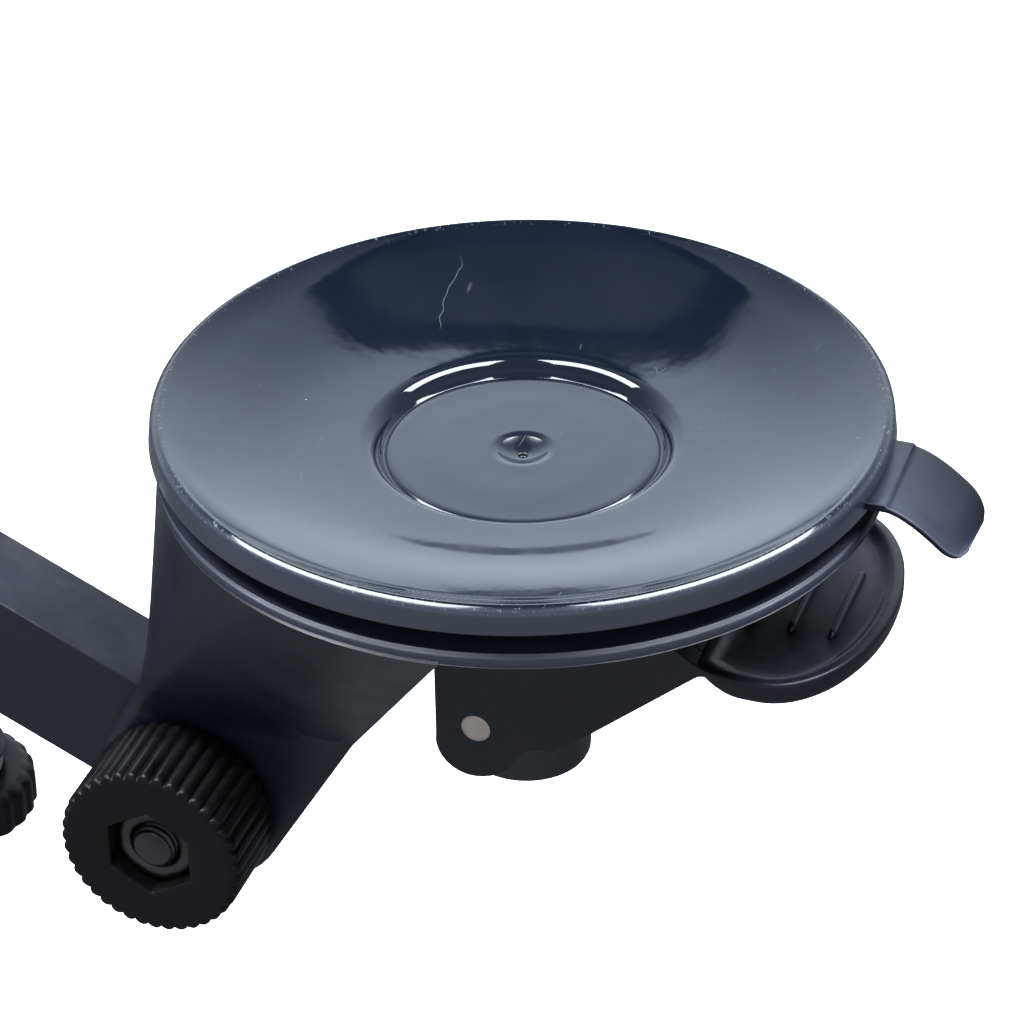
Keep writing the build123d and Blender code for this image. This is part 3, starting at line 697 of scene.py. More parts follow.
# ---------------------------------------------------------------- base shell
def base_bowl():
    """Flange, press ring, bowl and guide boss."""
    rim = flange_radius / MM
    top, bottom = flange_top / MM, flange_bottom / MM
    well_floor, bore, boss_foot = -10.9, 6.6, -21.4
    outline = rounded([
        (rim, top, 0.15), (32.1, top, 0.2), (31.6, -3.2, 0.3), (30.4, -3.45, 0.3),
        (29.9, -5.3, 0.5), (16.2, -8.15, 0.8), (15.2, well_floor, 0.3), (9.2, well_floor, 0.2),
        (9.2, -19.4, 0.2), (bore, -19.4, 0.1), (bore, boss_foot, 0.15), (12.2, boss_foot, 0.4),
        (12.2, -13.1, 0.8), (16.3, -13.1, 0.6), (17.3, -10.35, 0.8), (30.4, -7.25, 1.2),
        (32.6, bottom, 0.5), (rim, bottom, 0.12),
    ], steps=5)
    mesh = turned(in_mm(outline), samples=256)
    # The bowl and flange take the lighter copy of the shell plastic, a painted sheen.
    return piece("base_bowl", mesh, plastics["flange plastic with painted sheen"], "base", "shell_plastic", "base_shell")


ear_radius = hinge.z - cad_low_of_base
arm_lean = 0.59
ear_top = hinge.z + ear_radius
arm_half_width = 8.0 * MM
arm_wall = 2.0 * MM


def ear_side(z, side):
    """X of the ear's edge at a height: a leaning line that runs into the round of the hinge."""
    touch = hinge.z - side * arm_lean * ear_radius / math.hypot(1, arm_lean)
    if z >= touch:
        return hinge.x + arm_lean * (z - hinge.z) + side * ear_radius * math.hypot(1, arm_lean)
    return hinge.x + side * math.sqrt(max(ear_radius ** 2 - (z - hinge.z) ** 2, 0))


def arm_columns():
    """Pairs of points, at the flange and at the ears, from the open side round to the middle of
    the end wall. Also how many of them belong to the side wall and its corner."""
    radius = flange_radius - 0.02 * MM
    mouth = math.degrees(math.acos(4.0 * MM / radius))
    corner_start, corner_end, end_middle = 118, 134, 180
    left, right = ear_side(ear_top, -1), ear_side(ear_top, 1)
    turn = 1.6 * MM
    turn_x = turn * math.hypot(1, arm_lean)
    columns = []

    def add(angle, x, y):
        angle = math.radians(angle)
        rim = Vector((radius * math.cos(angle), radius * math.sin(angle), flange_bottom))
        columns.append((rim, Vector((x, y, ear_top))))

    for i in range(16):
        share = i / 16
        x = right + (left + turn_x - right) * share
        add(mouth + (corner_start - mouth) * share, x, arm_half_width)
    for i in range(9):
        share = i / 8
        angle = math.pi / 2 * (1 + share)
        x = left + turn_x + turn_x * math.cos(angle)
        y = arm_half_width - turn + turn * math.sin(angle)
        add(corner_start + (corner_end - corner_start) * share, x, y)
    side_count = len(columns)
    for i in range(1, 12):
        share = i / 11
        y = (arm_half_width - turn) * (1 - share)
        add(corner_end + (end_middle - corner_end) * share, left, y)
    return columns, side_count


def arm_skin(mesh):
    """The outside of the arm as one sheet: two side walls with their ears, and the end wall
    between them."""
    columns, side_count = arm_columns()
    last = len(columns) - 1
    wall_foot, rows = -35.6 * MM, 12
    heights = [flange_bottom + 0.05 * MM]
    heights += [flange_bottom + (wall_foot - flange_bottom) * i / rows for i in range(1, rows + 1)]
    left, right = ear_side(ear_top, -1), ear_side(ear_top, 1)
    ear_heights = [ear_top + (hinge.z - ear_top) * i / 8 for i in range(1, 8)]
    lowest = math.radians(86)
    ear_heights += [hinge.z - ear_radius * math.sin(lowest * i / 12) for i in range(13)]

    def at(column, z):
        top, foot = column
        return top.lerp(foot, (z - flange_bottom) / (ear_top - flange_bottom))

    def ear_at(column, z):
        foot = column[1]
        share = (foot.x - left) / (right - left)
        x = ear_side(z, -1) + share * (ear_side(z, 1) - ear_side(z, -1))
        return Vector((x, foot.y, z))

    grid = {}
    for side in (1, -1):
        for i, column in enumerate(columns):
            if i == last and side == -1:
                continue
            levels = [(z, at) for z in heights]
            if i < side_count:
                levels += [(ear_top, at)] + [(z, ear_at) for z in ear_heights]
            for k, (z, find) in enumerate(levels):
                point = find(column, z)
                grid[side, i, k] = mesh.verts.new((point.x, side * point.y, z))

        def corner(i, k):
            return grid.get((1 if i == last else side, i, k))

        for i in range(last):
            for k in range(len(heights) + len(ear_heights)):
                corners = [corner(i, k), corner(i + 1, k), corner(i + 1, k + 1), corner(i, k + 1)]
                if None not in corners:
                    mesh.faces.new(corners)


def bracket_arm():
    mesh = bmesh.new()
    arm_skin(mesh)
    made = piece("bracket_arm", mesh, shell_material, "base", "shell_plastic")
    wall = made.modifiers.new("wall", "SOLIDIFY")
    wall.thickness = arm_wall
    wall.offset = inward(made)
    wall.use_even_offset = True
    round_edges(made, 0.35 * MM)
    rib_middle, rib_half = 10.5 * MM, 0.8 * MM
    rib_outline = [(-31.9, -7.0), (-16.0, -7.4), (-16.0, -27.6), (-17.2, -28.7), (-34.9, -28.7)]
    for side, name in ((-1, "near"), (1, "far")):
        y = side * rib_middle
        mesh = plate(in_mm(rib_outline), y - rib_half, y + rib_half)
        rib = piece(f"arm_rib_{name}", mesh, shell_material, "base", "shell_plastic")
        round_edges(rib, 0.25 * MM)


def inward(made):
    """Solidify's offset that puts the wall on the inside of the arm."""
    face = max(made.data.polygons, key=lambda polygon: polygon.center.y)
    return -1.0 if face.normal.y > 0 else 1.0


def plate(corners, start, end):
    """A flat plate from its outline in X and Z, thick along Y."""
    mesh = bmesh.new()
    near = [mesh.verts.new((x, start, z)) for x, z in corners]
    far = [mesh.verts.new((x, end, z)) for x, z in corners]
    mesh.faces.new(near)
    mesh.faces.new(far[::-1])
    for i in range(len(corners)):
        j = (i + 1) % len(corners)
        mesh.faces.new((near[i], far[i], far[j], near[j]))
    return mesh


# ---------------------------------------------------------------- lever
cheek_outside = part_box("lever_pin")[1].y - 0.15 * MM
cheek_inside = cheek_outside - 2.4 * MM
pad_middle = 28.4
pad_start = 21.8
pad_half_width = 16.0
pad_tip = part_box("lever")[1].x / MM - pad_middle
thumb_floor = -17.3
rise_end = (22.9, -17.4)


def arc(start, through, end, steps=8):
    """Points of a circular arc after its start, from three points on it."""
    (ax, ay), (bx, by), (cx, cy) = start, through, end
    d = 2 * (ax * (by - cy) + bx * (cy - ay) + cx * (ay - by))
    aa, bb, cc = ax * ax + ay * ay, bx * bx + by * by, cx * cx + cy * cy
    ux = (aa * (by - cy) + bb * (cy - ay) + cc * (ay - by)) / d
    uy = (aa * (cx - bx) + bb * (ax - cx) + cc * (bx - ax)) / d
    radius = math.hypot(ax - ux, ay - uy)
    first = math.atan2(ay - uy, ax - ux)
    middle = (math.atan2(by - uy, bx - ux) - first) % (2 * math.pi)
    sweep = (math.atan2(cy - uy, cx - ux) - first) % (2 * math.pi)
    if middle > sweep:
        sweep -= 2 * math.pi
    angles = [first + sweep * i / steps for i in range(1, steps + 1)]
    return [(ux + radius * math.cos(angle), uy + radius * math.sin(angle)) for angle in angles]


def cheek_outline():
    """Side view of a cheek: straight back, round lobe under the pin, notch, then the rise to the
    pad."""
    points = [(-4.2, -17.2), (-4.2, -30.3)]
    points += arc(points[-1], (-3.25, -33.52), (0, -34.7))
    points += arc(points[-1], (2.95, -33.4), (4.6, -31.2))
    points += arc(points[-1], (6.2, -30.2), (7.6, -30.2), steps=6)
    points += arc(points[-1], (8.1, -30.0), (8.6, -29.6), steps=4)
    points += [(rise_end[0] - 0.8, rise_end[1] - 0.65)]
    through, end = (rise_end[0] - 0.2, rise_end[1] - 0.35), (rise_end[0] + 0.6, rise_end[1] - 0.5)
    points += arc(points[-1], through, end, steps=4)
    points += [(24.6, -18.0), (24.6, -17.6), (22.8, -16.8), (pad_start, -16.4)]
    points += [(18.8, -14.2), (-1.2, -14.2)]
    return points


def pad_loop(inset, height, lift=0.0, count=64):
    """The pad's outline seen from above, drawn in by an inset. The lift raises its root end."""
    taper, lift_run = 1.5, 5.0
    loop = []
    for i in range(count):
        angle = -math.pi / 2 + math.pi * i / (count - 1)
        x = pad_middle + (pad_tip - inset) * math.cos(angle)
        loop.append((x, (pad_half_width - inset) * math.sin(angle)))
    run = pad_middle - pad_start - inset
    for side in (1, -1):
        for i in range(1, 17):
            share = i / 16 if side > 0 else 1 - (i - 1) / 16
            y = pad_half_width - inset - taper * share ** 3
            loop.append((pad_middle - run * share, side * y))

    def lifted(x):
        return height + lift * max(0.0, 1 - (x - pad_start) / lift_run) ** 2

    return in_mm([(x, y, lifted(x)) for x, y in loop])


def lever_piece(name, mesh, *replaced):
    return piece(name, mesh, lever_material, "lever", "lever_plastic", *replaced)


def thumb_pad():
    """An oval pad with a raised rim round a shallow dish. Each ring is (inset, height, lift)."""
    rings = [(6.0, thumb_floor, 0), (3.4, thumb_floor, 0), (2.4, thumb_floor + 0.03, 0)]
    rings += [(1.95, thumb_floor + 0.16, 0), (1.6, thumb_floor + 0.42, 0)]
    rings += [(1.35, thumb_floor + 0.66, 0), (1.1, -16.53, 0), (0.8, -16.5, 0)]
    rings += [(0.35, -16.52, 0), (0.12, -16.62, 0), (0.0, -16.85, 0), (0.0, -17.4, 0.6)]
    rings += [(0.02, -18.1, 1.3), (0.16, -18.6, 1.7), (0.42, -18.92, 1.9), (0.8, -19.08, 1.9)]
    rings += [(1.4, -19.1, 1.9), (4.0, -19.1, 1.9)]
    return lever_piece("thumb_pad", skin([pad_loop(*ring) for ring in rings]), "lever")


def pad_ribs():
    """Three low ribs across the pad, each a half-round bar with rounded ends."""
    first, pitch, half_length, straight = 4.4, 4.0, 5.9, 5.1
    half_width, rise = 0.46, 0.6
    rows, around = 32, 16
    for k in range(3):
        x = pad_middle + first - pitch * k
        loops = []
        for i in range(rows + 1):
            y = -half_length + 2 * half_length * i / rows
            past = max(abs(y) - straight, 0) / 0.82
            size = math.sqrt(max(1 - past ** 2, 0.0004))
            turns = (2 * math.pi * j / around for j in range(around))
            loops.append(in_mm([
                (x + half_width * size * math.cos(turn), y,
                 thumb_floor + 0.05 + rise * size * math.sin(turn))
                for turn in turns
            ]))
        lever_piece(f"pad_rib_{k + 1}", skin(loops))


def cam_lever():
    thumb_pad()
    pad_ribs()
    hub_face, cam_bore, cam_radius, edge = 7.0 * MM, 1.5 * MM, 5.2 * MM, 0.15 * MM
    cam_centre = (1.3 * MM, 0, -27.5 * MM)
    for side, name in ((-1, "near"), (1, "far")):
        start, end = sorted((side * cheek_inside, side * cheek_outside))
        cheek = lever_piece(f"lever_cheek_{name}", plate(in_mm(cheek_outline()), start, end))
        round_edges(cheek, 0.3 * MM)
        start, end = sorted((side * hub_face, side * (cheek_inside + 0.5 * MM)))
        outline = [(cam_bore, start, 0), (cam_radius, start, edge)]
        outline += [(cam_radius, end, edge), (cam_bore, end, 0)]
        outline = rounded(outline, steps=3)
        mesh = turned(outline, samples=96, axis="Y", centre=cam_centre)
        lever_piece(f"lever_cam_{name}", mesh)
    x, z = rise_end
    end = [(x, z - 0.3), (x + 0.5, z - 0.15), (x - 0.2, z + 0.5), (x - 1.6, z + 1.2)]
    side_foot, side_root = (7.8, -29.9), (7.8, -27.7)
    for name, first, last, from_side, to_side in (
        ("near", side_foot, side_root, -cheek_inside, -hub_face),
        ("middle", (14.6, -24.5), (14.0, -22.8), -hub_face, hub_face),
        ("far", side_foot, side_root, hub_face, cheek_inside),
    ):
        web = plate(in_mm([first, *end, last]), from_side, to_side)
        round_edges(lever_piece(f"lever_web_{name}", web), 0.25 * MM)


# ---------------------------------------------------------------- link from its CAD solid
def soft_edged(node_name, name, material, body, width):
    """A copy of a CAD solid with its moulded edges rounded."""
    data = nodes[node_name].data.copy()
    data.materials.clear()
    data.materials.append(material)
    made = bpy.data.objects.new(name, data)
    bpy.context.scene.collection.objects.link(made)
    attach(made, body)
    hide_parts(node_name)
    return soften(made, width)


# ---------------------------------------------------------------- tilt knob, bolt and nut
def hexagon(across_flats, turn=0.0):
    """Radius of a hexagon at an angle."""
    sixth = math.pi / 3

    def radius(angle):
        return across_flats / 2 / math.cos((angle + turn) % sixth - sixth / 2)
    return radius


def lobed(outer, depth, count):
    """Radius of a ring of round ribs at an angle."""
    def radius(angle):
        wave = abs(math.cos(0.5 * count * angle))
        return outer - depth * (1 - wave ** 0.7)
    return radius


def tilt_knob():
    low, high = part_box("tilt_knob")
    outer = (high.x - low.x) / 2
    face, back = low.y - hinge.y, high.y - hinge.y
    rib, lobes = 0.52 * MM, 40
    flats, bore = 8.6 * MM, 2.7 * MM
    recess_floor = face + 5.62 * MM
    recess = hexagon(flats, math.pi / 6)

    def rim(inset, depth=rib):
        return lobed(outer - inset, depth, lobes)

    def eased(share):
        """Between the ribbed edge and the plain face."""
        edge = rim(0.85 * MM, rib * 0.2)
        return lambda angle: (1 - share) * edge(angle) + share * (recess(angle) + 0.35 * MM)

    def hollow(step):
        return lambda angle: recess(angle) + step

    outline = [
        (eased(1.0), face + 0.02 * MM), (eased(0.66), face), (eased(0.33), face),
        (eased(0.12), face), (rim(0.85 * MM, rib * 0.2), face),
        (rim(0.62 * MM, rib * 0.5), face + 0.04 * MM), (rim(0.36 * MM, rib * 0.8), face + 0.16 * MM),
        (rim(0.14 * MM), face + 0.36 * MM), (rim(0.03 * MM), face + 0.62 * MM),
        (rim(0), face + 1.0 * MM), (rim(0), face + 3.0 * MM),
        (rim(0), back - 2.0 * MM), (rim(0), back - 0.5 * MM), (rim(0.10 * MM), back - 0.2 * MM),
        (rim(0.45 * MM, rib * 0.6), back - 0.02 * MM), (rim(0.8 * MM, rib * 0.2), back),
        (outer - 2.0 * MM, back), (outer - 2.1 * MM, back - 2.2 * MM), (6.0 * MM, back - 2.3 * MM),
        (5.8 * MM, back), (bore + 0.05 * MM, back), (bore, back - 0.1 * MM),
        (bore, recess_floor + 0.03 * MM), (hollow(-0.1 * MM), recess_floor),
        (recess, recess_floor - 0.12 * MM), (recess, face + 0.45 * MM),
        (hollow(0.05 * MM), face + 0.22 * MM), (hollow(0.18 * MM), face + 0.08 * MM),
    ]
    mesh = turned(outline, samples=480, axis="Y", centre=hinge)
    return piece("tilt_knob_shell", mesh, knob_material, "knob", "knob_plastic", "tilt_knob")


def hex_nut(name, node_name, flats, hole, body, slot, material):
    """A nut with its corners turned off at both faces."""
    low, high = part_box(node_name)
    sides = hexagon(flats, math.pi / 6)
    start, end = low.y - hinge.y, high.y - hinge.y

    def turned_off(cone):
        return lambda angle: min(sides(angle), cone)

    steps = [(0.0, 0.490), (0.10, 0.512), (0.22, 0.530), (0.36, 0.548), (0.55, 0.567)]
    steps += [(0.75, 0.5774)]
    front = [(turned_off(flats * share), start + depth * MM) for depth, share in steps]
    rear = [(turned_off(flats * share), end - depth * MM) for depth, share in reversed(steps)]
    lead = 0.35 * MM
    inner = [(hole + lead, end), (hole, end - lead), (hole, start + lead), (hole + lead, start)]
    mesh = turned(front + rear + inner, samples=144, axis="Y", centre=hinge)
    return piece(name, mesh, material, body, slot, node_name)


def threaded(radius, pitch, depth, start, end, chamfer):
    """Rings of a threaded rod. Its radius follows a helix and it tapers at its start."""
    rings = []
    per_turn = 8
    count = int(abs(end - start) / pitch * per_turn)
    for i in range(count + 1):
        height = start + (end - start) * i / count
        into = abs(height - start)

        def wall(angle, height=height, into=into):
            phase = (height / pitch - angle / (2 * math.pi)) % 1.0
            tooth = abs(2 * phase - 1)
            cut = depth * min(1.0, 1.35 * tooth)
            return min(radius - cut, radius - chamfer + into)
        rings.append((wall, height))
    return rings


def tilt_bolt():
    low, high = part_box("tilt_bolt")
    radius = 2.5 * MM
    start, end = low.y - hinge.y, high.y - hinge.y
    head = (high.x - low.x) / 2
    under = end - 2.6 * MM
    outline = [(0, start), (radius - 0.75 * MM, start)]
    pitch, depth, chamfer = 0.8 * MM, 0.42 * MM, 0.55 * MM
    outline += threaded(radius, pitch, depth, start + 0.02 * MM, start + 9.0 * MM, chamfer)
    outline += [(radius, start + 9.4 * MM), (radius, under)]
    outline += [(head - 0.15 * MM, under), (head, under + 0.15 * MM), (head, end - 0.5 * MM)]
    outline += [(head - 0.15 * MM, end - 0.15 * MM), (head - 0.5 * MM, end), (0, end)]
    mesh = turned(outline, samples=72, axis="Y", centre=hinge)
    return piece("tilt_bolt_turned", mesh, dark_steel_material, "base", "dark_steel", "tilt_bolt")


def bolt_cap():
    low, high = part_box("bolt_cap")
    outer = (high.x - low.x) / 2
    start, end = low.y - hinge.y, high.y - hinge.y
    inside, dip, roof = 5.4 * MM, 0.35 * MM, 1.2 * MM
    outline = rounded([
        (inside, start, 0.05 * MM), (outer, start, 0.2 * MM), (outer, end, 1.0 * MM),
        (outer - 2.4 * MM, end, 1.0 * MM), (outer - 2.8 * MM, end - dip, 0.4 * MM),
        (0, end - dip, 0), (0, end - roof, 0), (inside, end - roof, 0.1 * MM),
    ])
    mesh = turned(outline, samples=128, axis="Y", centre=hinge)
    return piece("bolt_cap_shell", mesh, knob_material, "base", "knob_plastic", "bolt_cap")


def flat_ring(name, node_name, hole, material, body, slot, axis, centre, edge=0.12 * MM):
    """A washer or a pad: a flat ring with softened edges."""
    low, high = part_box(node_name)
    outer = (high.x - low.x) / 2
    along = 1 if axis == "Y" else 2
    start, end = low[along] - centre[along], high[along] - centre[along]
    corners = ((hole, start), (outer, start), (outer, end), (hole, end))
    outline = rounded([(*corner, edge) for corner in corners], steps=3)
    mesh = turned(outline, samples=96, axis=axis, centre=centre)
    return piece(name, mesh, material, body, slot, node_name)


# ---------------------------------------------------------------- pin, stem
def lever_pin():
    low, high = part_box("lever_pin")
    radius = (high.x - low.x) / 2
    start, end = low.y - pin.y, high.y - pin.y
    crown = 0.10 * MM
    face = [(radius * 0.45, 0.01 * MM), (radius * 0.70, crown * 0.6)]
    face += [(radius - 0.10 * MM, crown * 1.1), (radius, crown + 0.16 * MM)]
    outline = [(0, start)] + [(across, start + depth) for across, depth in face]
    outline += [(across, end - depth) for across, depth in reversed(face)] + [(0, end)]
    mesh = turned(outline, samples=64, axis="Y", centre=pin)
    return piece("lever_pin_turned", mesh, pin_material, "lever", "pin_steel", "lever_pin")


def pull_stem():
    """A round stem with a dimpled, rounded tail and, at its top, the plate moulded into the cup."""
    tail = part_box("pull_stem")[0].z / MM
    stem, plate_edge, plate_foot, plate_top = 6.5, 12.6, -9.5, -7.7
    outline = [(0, tail + 0.5), (1.2, tail + 0.5), (1.4, tail + 0.1), (1.9, tail)]
    outline += [(5.3, tail), (5.9, tail + 0.08), (6.3, tail + 0.3), (6.46, tail + 0.65)]
    outline += [(stem, tail + 1.0), (stem, -33.0), (stem, -20.0), (stem, plate_foot - 0.2)]
    outline += [(stem + 0.2, plate_foot), (plate_edge - 0.2, plate_foot)]
    outline += [(plate_edge, plate_foot + 0.2), (plate_edge, plate_top - 0.2)]
    outline += [(plate_edge - 0.2, plate_top), (0, plate_top)]
    mesh = turned(in_mm(outline), samples=128)
    return piece("pull_stem_turned", mesh, stem_material, "stem", "stem_plastic", "pull_stem")


# ---------------------------------------------------------------- swivel, camera screw and lock nut
def swivel_post():
    low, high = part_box("swivel_post")
    start, end = low.z - swivel.z, high.z - swivel.z
    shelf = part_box("swivel_washer")[0].z - swivel.z
    foot, neck, post = reach("swivel_post"), 4.6 * MM, 3.0 * MM
    outline = rounded([
        (0, start, 0), (foot, start, 0.5 * MM), (foot, start + 2.4 * MM, 0.4 * MM),
        (neck, start + 4.0 * MM, 1.2 * MM), (neck, shelf, 0.25 * MM), (post, shelf, 0),
        (post, end, 0.2 * MM), (0, end, 0),
    ])
    mesh = turned(outline, samples=96, centre=swivel)
    return piece("swivel_post_turned", mesh, stem_material, "swivel", "stem_plastic", "swivel_post")


def camera_stud():
    low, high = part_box("camera_stud")
    start, end = low.z - swivel.z, high.z - swivel.z
    radius = (high.x - low.x) / 2
    outline = [(0, start), (radius - 0.9 * MM, start)]
    pitch, depth, chamfer = 1.27 * MM, 0.68 * MM, 0.75 * MM
    outline += threaded(radius, pitch, depth, start + 0.02 * MM, end - 4.2 * MM, chamfer)
    outline += [(radius - 0.3 * MM, end - 4.0 * MM), (0, end - 4.0 * MM)]
    mesh = turned(outline, samples=72, centre=swivel)
    return piece(
        "camera_stud_threaded", mesh, bolt_steel_material, "swivel", "fastener_steel", "camera_stud"
    )


def thumb_nut():
    low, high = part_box("thumb_nut")
    start, end = low.z - swivel.z, high.z - swivel.z
    outer = 9.0 * MM
    bore = 3.25 * MM

    def rim(inset, depth):
        return lobed_in(outer - inset, depth, 24)

    outline = [
        (bore, start + 0.45 * MM), (7.75 * MM, start + 0.42 * MM), (7.8 * MM, start + 0.02 * MM),
        (8.0 * MM, start), (rim(0.2 * MM, 0.2 * MM), start),
        (rim(0.02 * MM, 0.28 * MM), start + 0.2 * MM), (rim(0, 0.3 * MM), start + 0.5 * MM),
        (rim(0, 0.3 * MM), end - 1.3 * MM), (rim(0.12 * MM, 0.28 * MM), end - 0.85 * MM),
        (rim(0.5 * MM, 0.2 * MM), end - 0.35 * MM), (rim(1.0 * MM, 0.08 * MM), end - 0.05 * MM),
        (outer - 1.4 * MM, end), (5.4 * MM, end), (5.0 * MM, end - 0.3 * MM),
        (bore + 0.3 * MM, end - 0.3 * MM), (bore, end - 0.5 * MM),
    ]
    mesh = turned(outline, samples=288, centre=swivel)
    return piece("thumb_nut_shell", mesh, knob_material, "thumb_nut", "knob_plastic", "thumb_nut")


def lobed_in(outer, depth, count):
    """Radius of a rim with hollow scallops at an angle."""
    def radius(angle):
        return outer - depth * (0.5 + 0.5 * math.cos(count * angle)) ** 1.5
    return radius


def repaint(node_name, material):
    """A CAD node whose shape is already right takes a finished material."""
    shown = nodes[node_name]
    for place in shown.material_slots:
        place.material = material
    if not shown.material_slots:
        shown.data.materials.append(material)
    return shown


# ---------------------------------------------------------------- put together
suction_cup()
pull_tab()
pull_stem()
base_bowl()
bracket_arm()
cam_lever()
soft_edged("link_arm", "camera_link", shell_material, "link", 0.4 * MM)
lever_pin()
tilt_knob()
tilt_bolt()
hex_nut(
    "knob_nut_turned", "knob_nut", 8.0 * MM, 2.6 * MM, "knob", "dark_steel", dark_steel_material
)
bolt_cap()
for side in ("near", "far"):
    flat_ring(
        f"{side}_washer_ring", f"{side}_washer", 2.6 * MM, washer_steel_material,
        "base", "fastener_steel", "Y", hinge,
    )
swivel_post()
camera_stud()
thumb_nut()
for node_name, hole, material, body, slot, edge in (
    ("swivel_washer", 3.1 * MM, plastics["slip plastic"], "swivel", "slip_plastic", 0.12 * MM),
    ("cap_washer", 1.6 * MM, bolt_steel_material, "swivel", "fastener_steel", 0.12 * MM),
    ("camera_pad", 3.5 * MM, plastics["soft pad"], "thumb_nut", "pad_rubber", 0.25 * MM),
):
    flat_ring(f"{node_name}_ring", node_name, hole, material, body, slot, "Z", swivel, edge)
for node_name, material in (
    ("return_spring", spring_steel_material),
    ("spring_seat", spring_steel_material),
    ("cam_plate", plastics["slip plastic"]),
    ("friction_discs", plastics["friction fibre"]),
    ("swivel_screw", bolt_steel_material),
):
    repaint(node_name, material)


# ---------------------------------------------------------------- floor, light and camera
def pale_floor():
    mesh = bmesh.new()
    bmesh.ops.create_grid(mesh, x_segments=8, y_segments=8, size=3.0)
    data = bpy.data.meshes.new("floor")
    mesh.to_mesh(data)
    mesh.free()
    material, tree, shader = new_material("pale floor")
    shader.inputs["Roughness"].default_value = 0.8
    seen = node(tree, "LightPath").outputs["Is Camera Ray"]
    dark_to_the_object, pale_to_the_eye = (0.03, 0.03, 0.03), (0.92, 0.92, 0.92)
    tone = mix(tree, seen, dark_to_the_object, pale_to_the_eye)
    tree.links.new(tone, shader.inputs["Base Color"])
    shader.inputs["Emission Color"].default_value = (0.90, 0.95, 1, 1)
    depth = node(tree, "SeparateXYZ", {0: object_place(tree)}).outputs["Y"]
    glow = remap(tree, depth, -220.0, 60.0, 0.36, 0.08, smooth=True)
    both = node(tree, "Mix", {0: seen, 2: glow, 3: 0.75}).outputs[0]
    tree.links.new(both, shader.inputs["Emission Strength"])
    under_side = node(tree, "NewGeometry").outputs["Backfacing"]
    tree.links.new(maths(tree, "SUBTRACT", 1.0, under_side), shader.inputs["Alpha"])
    data.materials.append(material)
    floor = bpy.data.objects.new("floor", data)
    floor.location.z = cad_low.z - 0.09
    bpy.context.scene.collection.objects.link(floor)


def strip_light(name, start, end, width, power):
    """A long soft panel between two places, facing the object."""
    start, end = Vector(start), Vector(end)
    data = bpy.data.lights.new(name, "AREA")
    data.shape = "RECTANGLE"
    data.size, data.size_y = (end - start).length, width
    data.energy = power
    data.color = (0.86, 0.92, 1.0)
    light = bpy.data.objects.new(name, data)
    light.location = (start + end) / 2
    away = light.location.normalized()
    along = (end - start - away * (end - start).dot(away)).normalized()
    light.rotation_mode = "QUATERNION"
    light.rotation_quaternion = Matrix((along, away.cross(along), away)).transposed().to_quaternion()
    bpy.context.scene.collection.objects.link(light)


def soft_step(tree, value, from_low, from_high, to_low=0.0, to_high=1.0):
    return remap(tree, value, from_low, from_high, to_low, to_high, smooth=True)


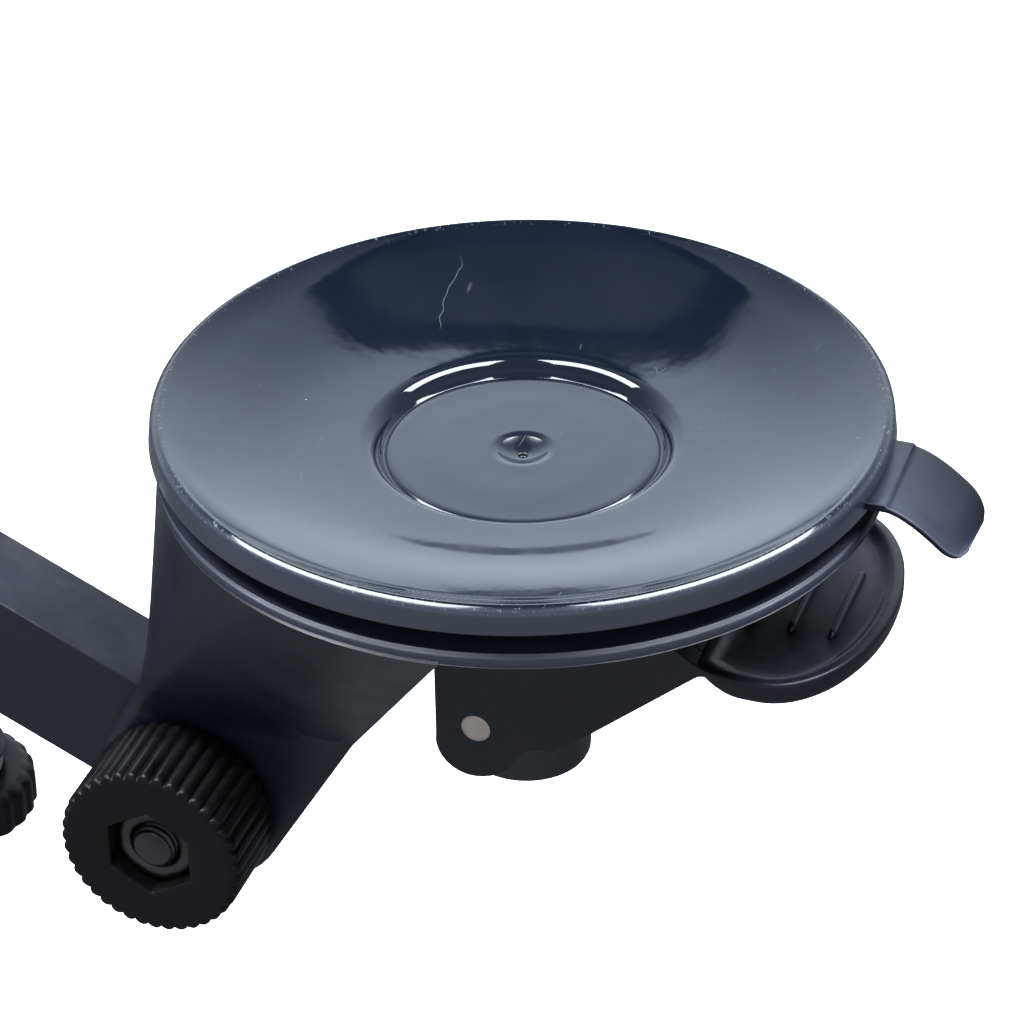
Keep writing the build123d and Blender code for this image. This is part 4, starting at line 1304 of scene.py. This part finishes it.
def studio_world():
    """A dim room with a bright wall behind the object. Only the camera sees it plain and pale."""
    world = bpy.data.worlds.new("studio")
    world.use_nodes = True
    tree = world.node_tree
    direction = node(tree, "SeparateXYZ", {0: node(tree, "TexCoord").outputs["Generated"]})
    x, y, z = (direction.outputs[axis] for axis in "XYZ")
    turn = maths(tree, "DEGREES", maths(tree, "ARCTAN2", x, y))
    off_axis = maths(tree, "ABSOLUTE", maths(tree, "ADD", turn, 21.0))
    height = maths(tree, "DEGREES", maths(tree, "ARCSINE", z))
    arch = maths(tree, "MULTIPLY_ADD", off_axis, 0.68, 37.5)
    under = maths(tree, "SUBTRACT", arch, height)
    in_wall = soft_step(tree, under, 0.0, 1.6)
    in_room = soft_step(tree, under, -6.0, -3.5, 1.0, 0.0)
    in_room = times(tree, in_room, soft_step(tree, height, 56.0, 70.0, 1.0, 0.35))
    hot = soft_step(tree, off_axis, 0.0, 18.0, 1.0, 0.0)
    hot = times(tree, hot, soft_step(tree, height, 28.0, 12.0, 0.6, 1.0))
    side = soft_step(tree, off_axis, 18.0, 75.0, 1.0, 0.2)
    wall = times(tree, maths(tree, "MULTIPLY_ADD", hot, 0.8, 1.6), side)
    wall = times(tree, wall, soft_step(tree, height, -7.0, 14.0, 0.08, 1.0))
    wall = times(tree, wall, soft_step(tree, height, 25.0, 54.0, 1.0, 0.45))
    spot = node(tree, "CombineXYZ", {
        "X": times(tree, maths(tree, "ADD", turn, 19.5), 0.42),
        "Y": times(tree, maths(tree, "SUBTRACT", height, 20.6), 0.62),
    }).outputs[0]
    spot = vector_maths(tree, "LENGTH", spot, output="Value")
    wall = times(tree, wall, soft_step(tree, spot, 0.8, 1.1, 0.28, 1.0))
    room = maths(tree, "MULTIPLY_ADD", in_room, 0.18, 0.05)
    front = times(tree, soft_step(tree, off_axis, 100.0, 150.0), soft_step(tree, height, -14.0, 8.0))
    front = times(tree, front, soft_step(tree, height, 12.0, 30.0, 0.5, 0.1))
    light = maths(tree, "ADD", times(tree, wall, in_wall), maths(tree, "ADD", room, front))
    lit = node(tree, "Background", {"Color": (0.78, 0.88, 1.0, 1), "Strength": light})
    plain = node(tree, "Background", {"Color": (1, 1, 1, 1), "Strength": 1.0})
    seen = node(tree, "LightPath").outputs["Is Camera Ray"]
    both = node(tree, "MixShader", {0: seen, 1: lit.outputs[0], 2: plain.outputs[0]})
    tree.links.new(both.outputs[0], tree.nodes["World Output"].inputs["Surface"])
    tree.nodes.remove(tree.nodes["Background"])
    bpy.context.scene.world = world


def camera():
    """Looks along the chosen view, with the cup a little above the middle of the frame."""
    azimuth, elevation = math.radians(19.5), math.radians(31.75)
    distance = 0.400
    roll = math.radians(-0.91)
    right_of_axis, above_axis = 0.0024, 0.0273
    level = Vector((math.sin(azimuth), -math.cos(azimuth), 0))
    straight_up = Vector((0, 0, 1))
    towards_camera = level * math.cos(elevation) + straight_up * math.sin(elevation)
    up = straight_up * math.cos(elevation) - level * math.sin(elevation)
    right = (-towards_camera).cross(up)
    world_axes = Matrix((right, up, towards_camera)).transposed()
    sight = Vector((right_of_axis, above_axis, -1)).normalized()
    screen_up = Vector((math.sin(roll), math.cos(roll), 0))
    screen_up = (screen_up - sight * screen_up.dot(sight)).normalized()
    screen_right = sight.cross(screen_up)
    screen_axes = Matrix((screen_right, screen_up, -sight)).transposed()
    data = bpy.data.cameras.new("camera")
    data.lens = 146.4
    data.sensor_width = 36
    data.clip_start, data.clip_end = 0.01, 20
    made = bpy.data.objects.new("camera", data)
    made.rotation_mode = "QUATERNION"
    made.rotation_quaternion = (world_axes @ screen_axes.transposed()).to_quaternion()
    made.location = towards_camera * distance
    bpy.context.scene.collection.objects.link(made)
    bpy.context.scene.camera = made


pale_floor()
studio_world()
panel_width, panel_power = 0.34, 19.0
strip_light("left panel", (-0.11, -0.40, 1.13), (-0.90, 0.0, 0.79), panel_width, panel_power)
strip_light("right panel", (0.34, -0.24, 1.13), (0.70, 0.57, 0.79), panel_width, panel_power)
camera()
bpy.context.scene.view_settings.view_transform = "Standard"
